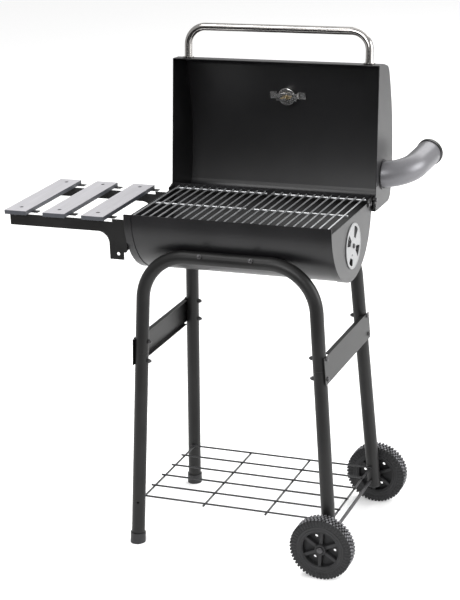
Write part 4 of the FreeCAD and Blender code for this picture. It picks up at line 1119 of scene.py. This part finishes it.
class GRILL_OT_studio(bpy.types.Operator):
    """Lay the pale floor, hang the softboxes and dark cloths, and set up the camera"""
    bl_idname = "grill.studio"
    bl_label = "Studio"
    softboxes = {  # stand, aim and width of each
        "overhead": ((-0.82, -0.82, 3.1), (0.1, 0, 0.85), 0.9),
        "front": ((0.1, -3.5, 2.75), (0.1, 0, 0.85), 2.0),
        "side": ((3.2, 0.6, 1.7), (0.2, 0, 0.7), 1.8),
        "back": ((0.9, 3.6, 2.8), (0.7, 2.8, 0), 2.6),
    }
    cloths = {  # middle, direction it faces, width and height of each
        "floor_flag": ((-0.4, -2.925, 0.004), (0, 0, 1), 6.0, 3.15),
        "upright_flag": ((-1.0, -4.6, 1.15), (0, 1, 0), 8.0, 2.3),
    }

    def execute(self, context):
        scene = context.scene
        studio = scene.grill_studio
        self.camera(scene, studio)
        self.floor(scene, studio)
        self.room_light(scene, studio)
        for name, (stand, aim, size) in self.softboxes.items():
            self.softbox(scene, name, getattr(studio, name), stand, aim, size)
        self.even_light(scene, studio)
        for name, (middle, facing, wide, high) in self.cloths.items():
            self.flag(scene, name, middle, facing, wide, high)
        scene.view_settings.view_transform = "Standard"
        return {"FINISHED"}

    def camera(self, scene, studio):
        lens = bpy.data.cameras.new("camera")
        lens.sensor_fit = "VERTICAL"
        lens.sensor_height = 36.0
        lens.lens = studio.lens
        lens.clip_end = 100.0
        camera = bpy.data.objects.new("camera", lens)
        scene.collection.objects.link(camera)
        heading, dip = studio.heading, studio.dip
        ahead = Vector((-math.sin(heading) * math.cos(dip), math.cos(heading) * math.cos(dip),
                        -math.sin(dip)))
        level = Vector((math.cos(heading), math.sin(heading), 0))
        above = level.cross(ahead)
        right = math.cos(studio.tilt) * level + math.sin(studio.tilt) * above
        up = math.cos(studio.tilt) * above - math.sin(studio.tilt) * level
        facing = Matrix((right, up, -ahead)).transposed().to_4x4()
        camera.matrix_world = Matrix.Translation(studio.eye) @ facing
        scene.camera = camera

    def floor(self, scene, studio):
        made = bmesh.new()
        bmesh.ops.create_grid(made, x_segments=1, y_segments=1, size=30.0)
        mesh = bpy.data.meshes.new("floor")
        made.to_mesh(mesh)
        made.free()
        floor = bpy.data.objects.new("floor", mesh)
        scene.collection.objects.link(floor)
        paper = Recipe("floor_paper", Specular_IOR_Level=0.1, Roughness=0.9, Emission_Strength=0.15,
                       Emission_Color=(1.0, 1.0, 1.0, 1.0))
        cloud = paper.grain(paper.place(), 0.8, 2.0)
        paper.feed("Base Color", paper.mix(cloud, shade(studio.floor, 0.985), studio.floor))
        mesh.materials.append(paper.material)

    def flag(self, scene, name, middle, facing, wide, high):
        """A dark cloth, unseen itself, that keeps glare off the front of the barrel and the lid."""
        made = bmesh.new()
        across = Vector((1, 0, 0))
        toward = Vector(facing)
        turned = Matrix((across, toward.cross(across), toward)).transposed().to_4x4()
        bmesh.ops.create_grid(made, x_segments=1, y_segments=1, size=0.5,
                              matrix=Matrix.Translation(middle) @ turned
                              @ Matrix.Diagonal((wide, high, 1.0, 1.0)))
        mesh = bpy.data.meshes.new(name)
        made.to_mesh(mesh)
        made.free()
        cloth = Recipe(name + "_cloth", Specular_IOR_Level=0.1, Roughness=0.95)
        weave = cloth.grain(cloth.place(), 300.0, 2.0)
        cloth.feed("Base Color", cloth.mix(weave, (0.010, 0.010, 0.010), (0.022, 0.022, 0.022)))
        mesh.materials.append(cloth.material)
        hung = bpy.data.objects.new(name, mesh)
        hung.visible_camera = False
        hung.visible_diffuse = False
        hung.visible_shadow = False
        scene.collection.objects.link(hung)

    def room_light(self, scene, studio):
        world = bpy.data.worlds.new("room_light")
        world.use_nodes = True
        background = world.node_tree.nodes["Background"]
        background.inputs["Color"].default_value = (1.0, 1.0, 1.0, 1.0)
        background.inputs["Strength"].default_value = studio.sky
        scene.world = world

    def even_light(self, scene, studio):
        lamp = bpy.data.lights.new("even_light", "SUN")
        lamp.energy = studio.even
        lamp.angle = math.radians(70)
        lit = bpy.data.objects.new("even_light", lamp)
        scene.collection.objects.link(lit)
        lit.matrix_world = pointing((0, 0, 3), (0.25, 0.35, 1.0))

    def softbox(self, scene, name, power, stand, aim, size):
        lamp = bpy.data.lights.new(name + "_softbox", "AREA")
        lamp.shape = "SQUARE"
        lamp.size = size
        lamp.energy = power
        lit = bpy.data.objects.new(name + "_softbox", lamp)
        lit.visible_camera = False
        scene.collection.objects.link(lit)
        toward = Vector(aim) - Vector(stand)
        lit.matrix_world = (Matrix.Translation(stand)
                            @ toward.to_track_quat("-Z", "Y").to_matrix().to_4x4())


OPERATORS = (
    GRILL_OT_finishes, GRILL_OT_tyres, GRILL_OT_hubs, GRILL_OT_axle_caps, GRILL_OT_fasteners,
    GRILL_OT_lid_handle, GRILL_OT_vent_disc, GRILL_OT_thermometer, GRILL_OT_soft_edges,
    GRILL_OT_studio,
)


class GRILL_PT_panel(bpy.types.Panel):
    """Every step of the grill, in order"""
    bl_idname = "GRILL_PT_panel"
    bl_label = "Barrel grill"
    bl_space_type = "VIEW_3D"
    bl_region_type = "UI"
    bl_category = "Grill"

    def draw(self, context):
        column = self.layout.column(align=True)
        for operator in OPERATORS:
            column.operator(operator.bl_idname)
        for group, kind in GROUPS.items():
            box = self.layout.box()
            for name in kind.__annotations__:
                box.prop(getattr(context.scene, group), name)


def register():
    for kind in (*GROUPS.values(), *OPERATORS, GRILL_PT_panel):
        bpy.utils.register_class(kind)
    for name, kind in GROUPS.items():
        setattr(bpy.types.Scene, name, bpy.props.PointerProperty(type=kind))


def unregister():
    for name in GROUPS:
        delattr(bpy.types.Scene, name)
    for kind in reversed((*GROUPS.values(), *OPERATORS, GRILL_PT_panel)):
        bpy.utils.unregister_class(kind)


def main():
    register()
    for operator in OPERATORS:
        group, name = operator.bl_idname.split(".")
        getattr(getattr(bpy.ops, group), name)()


if __name__ == "__main__":
    main()
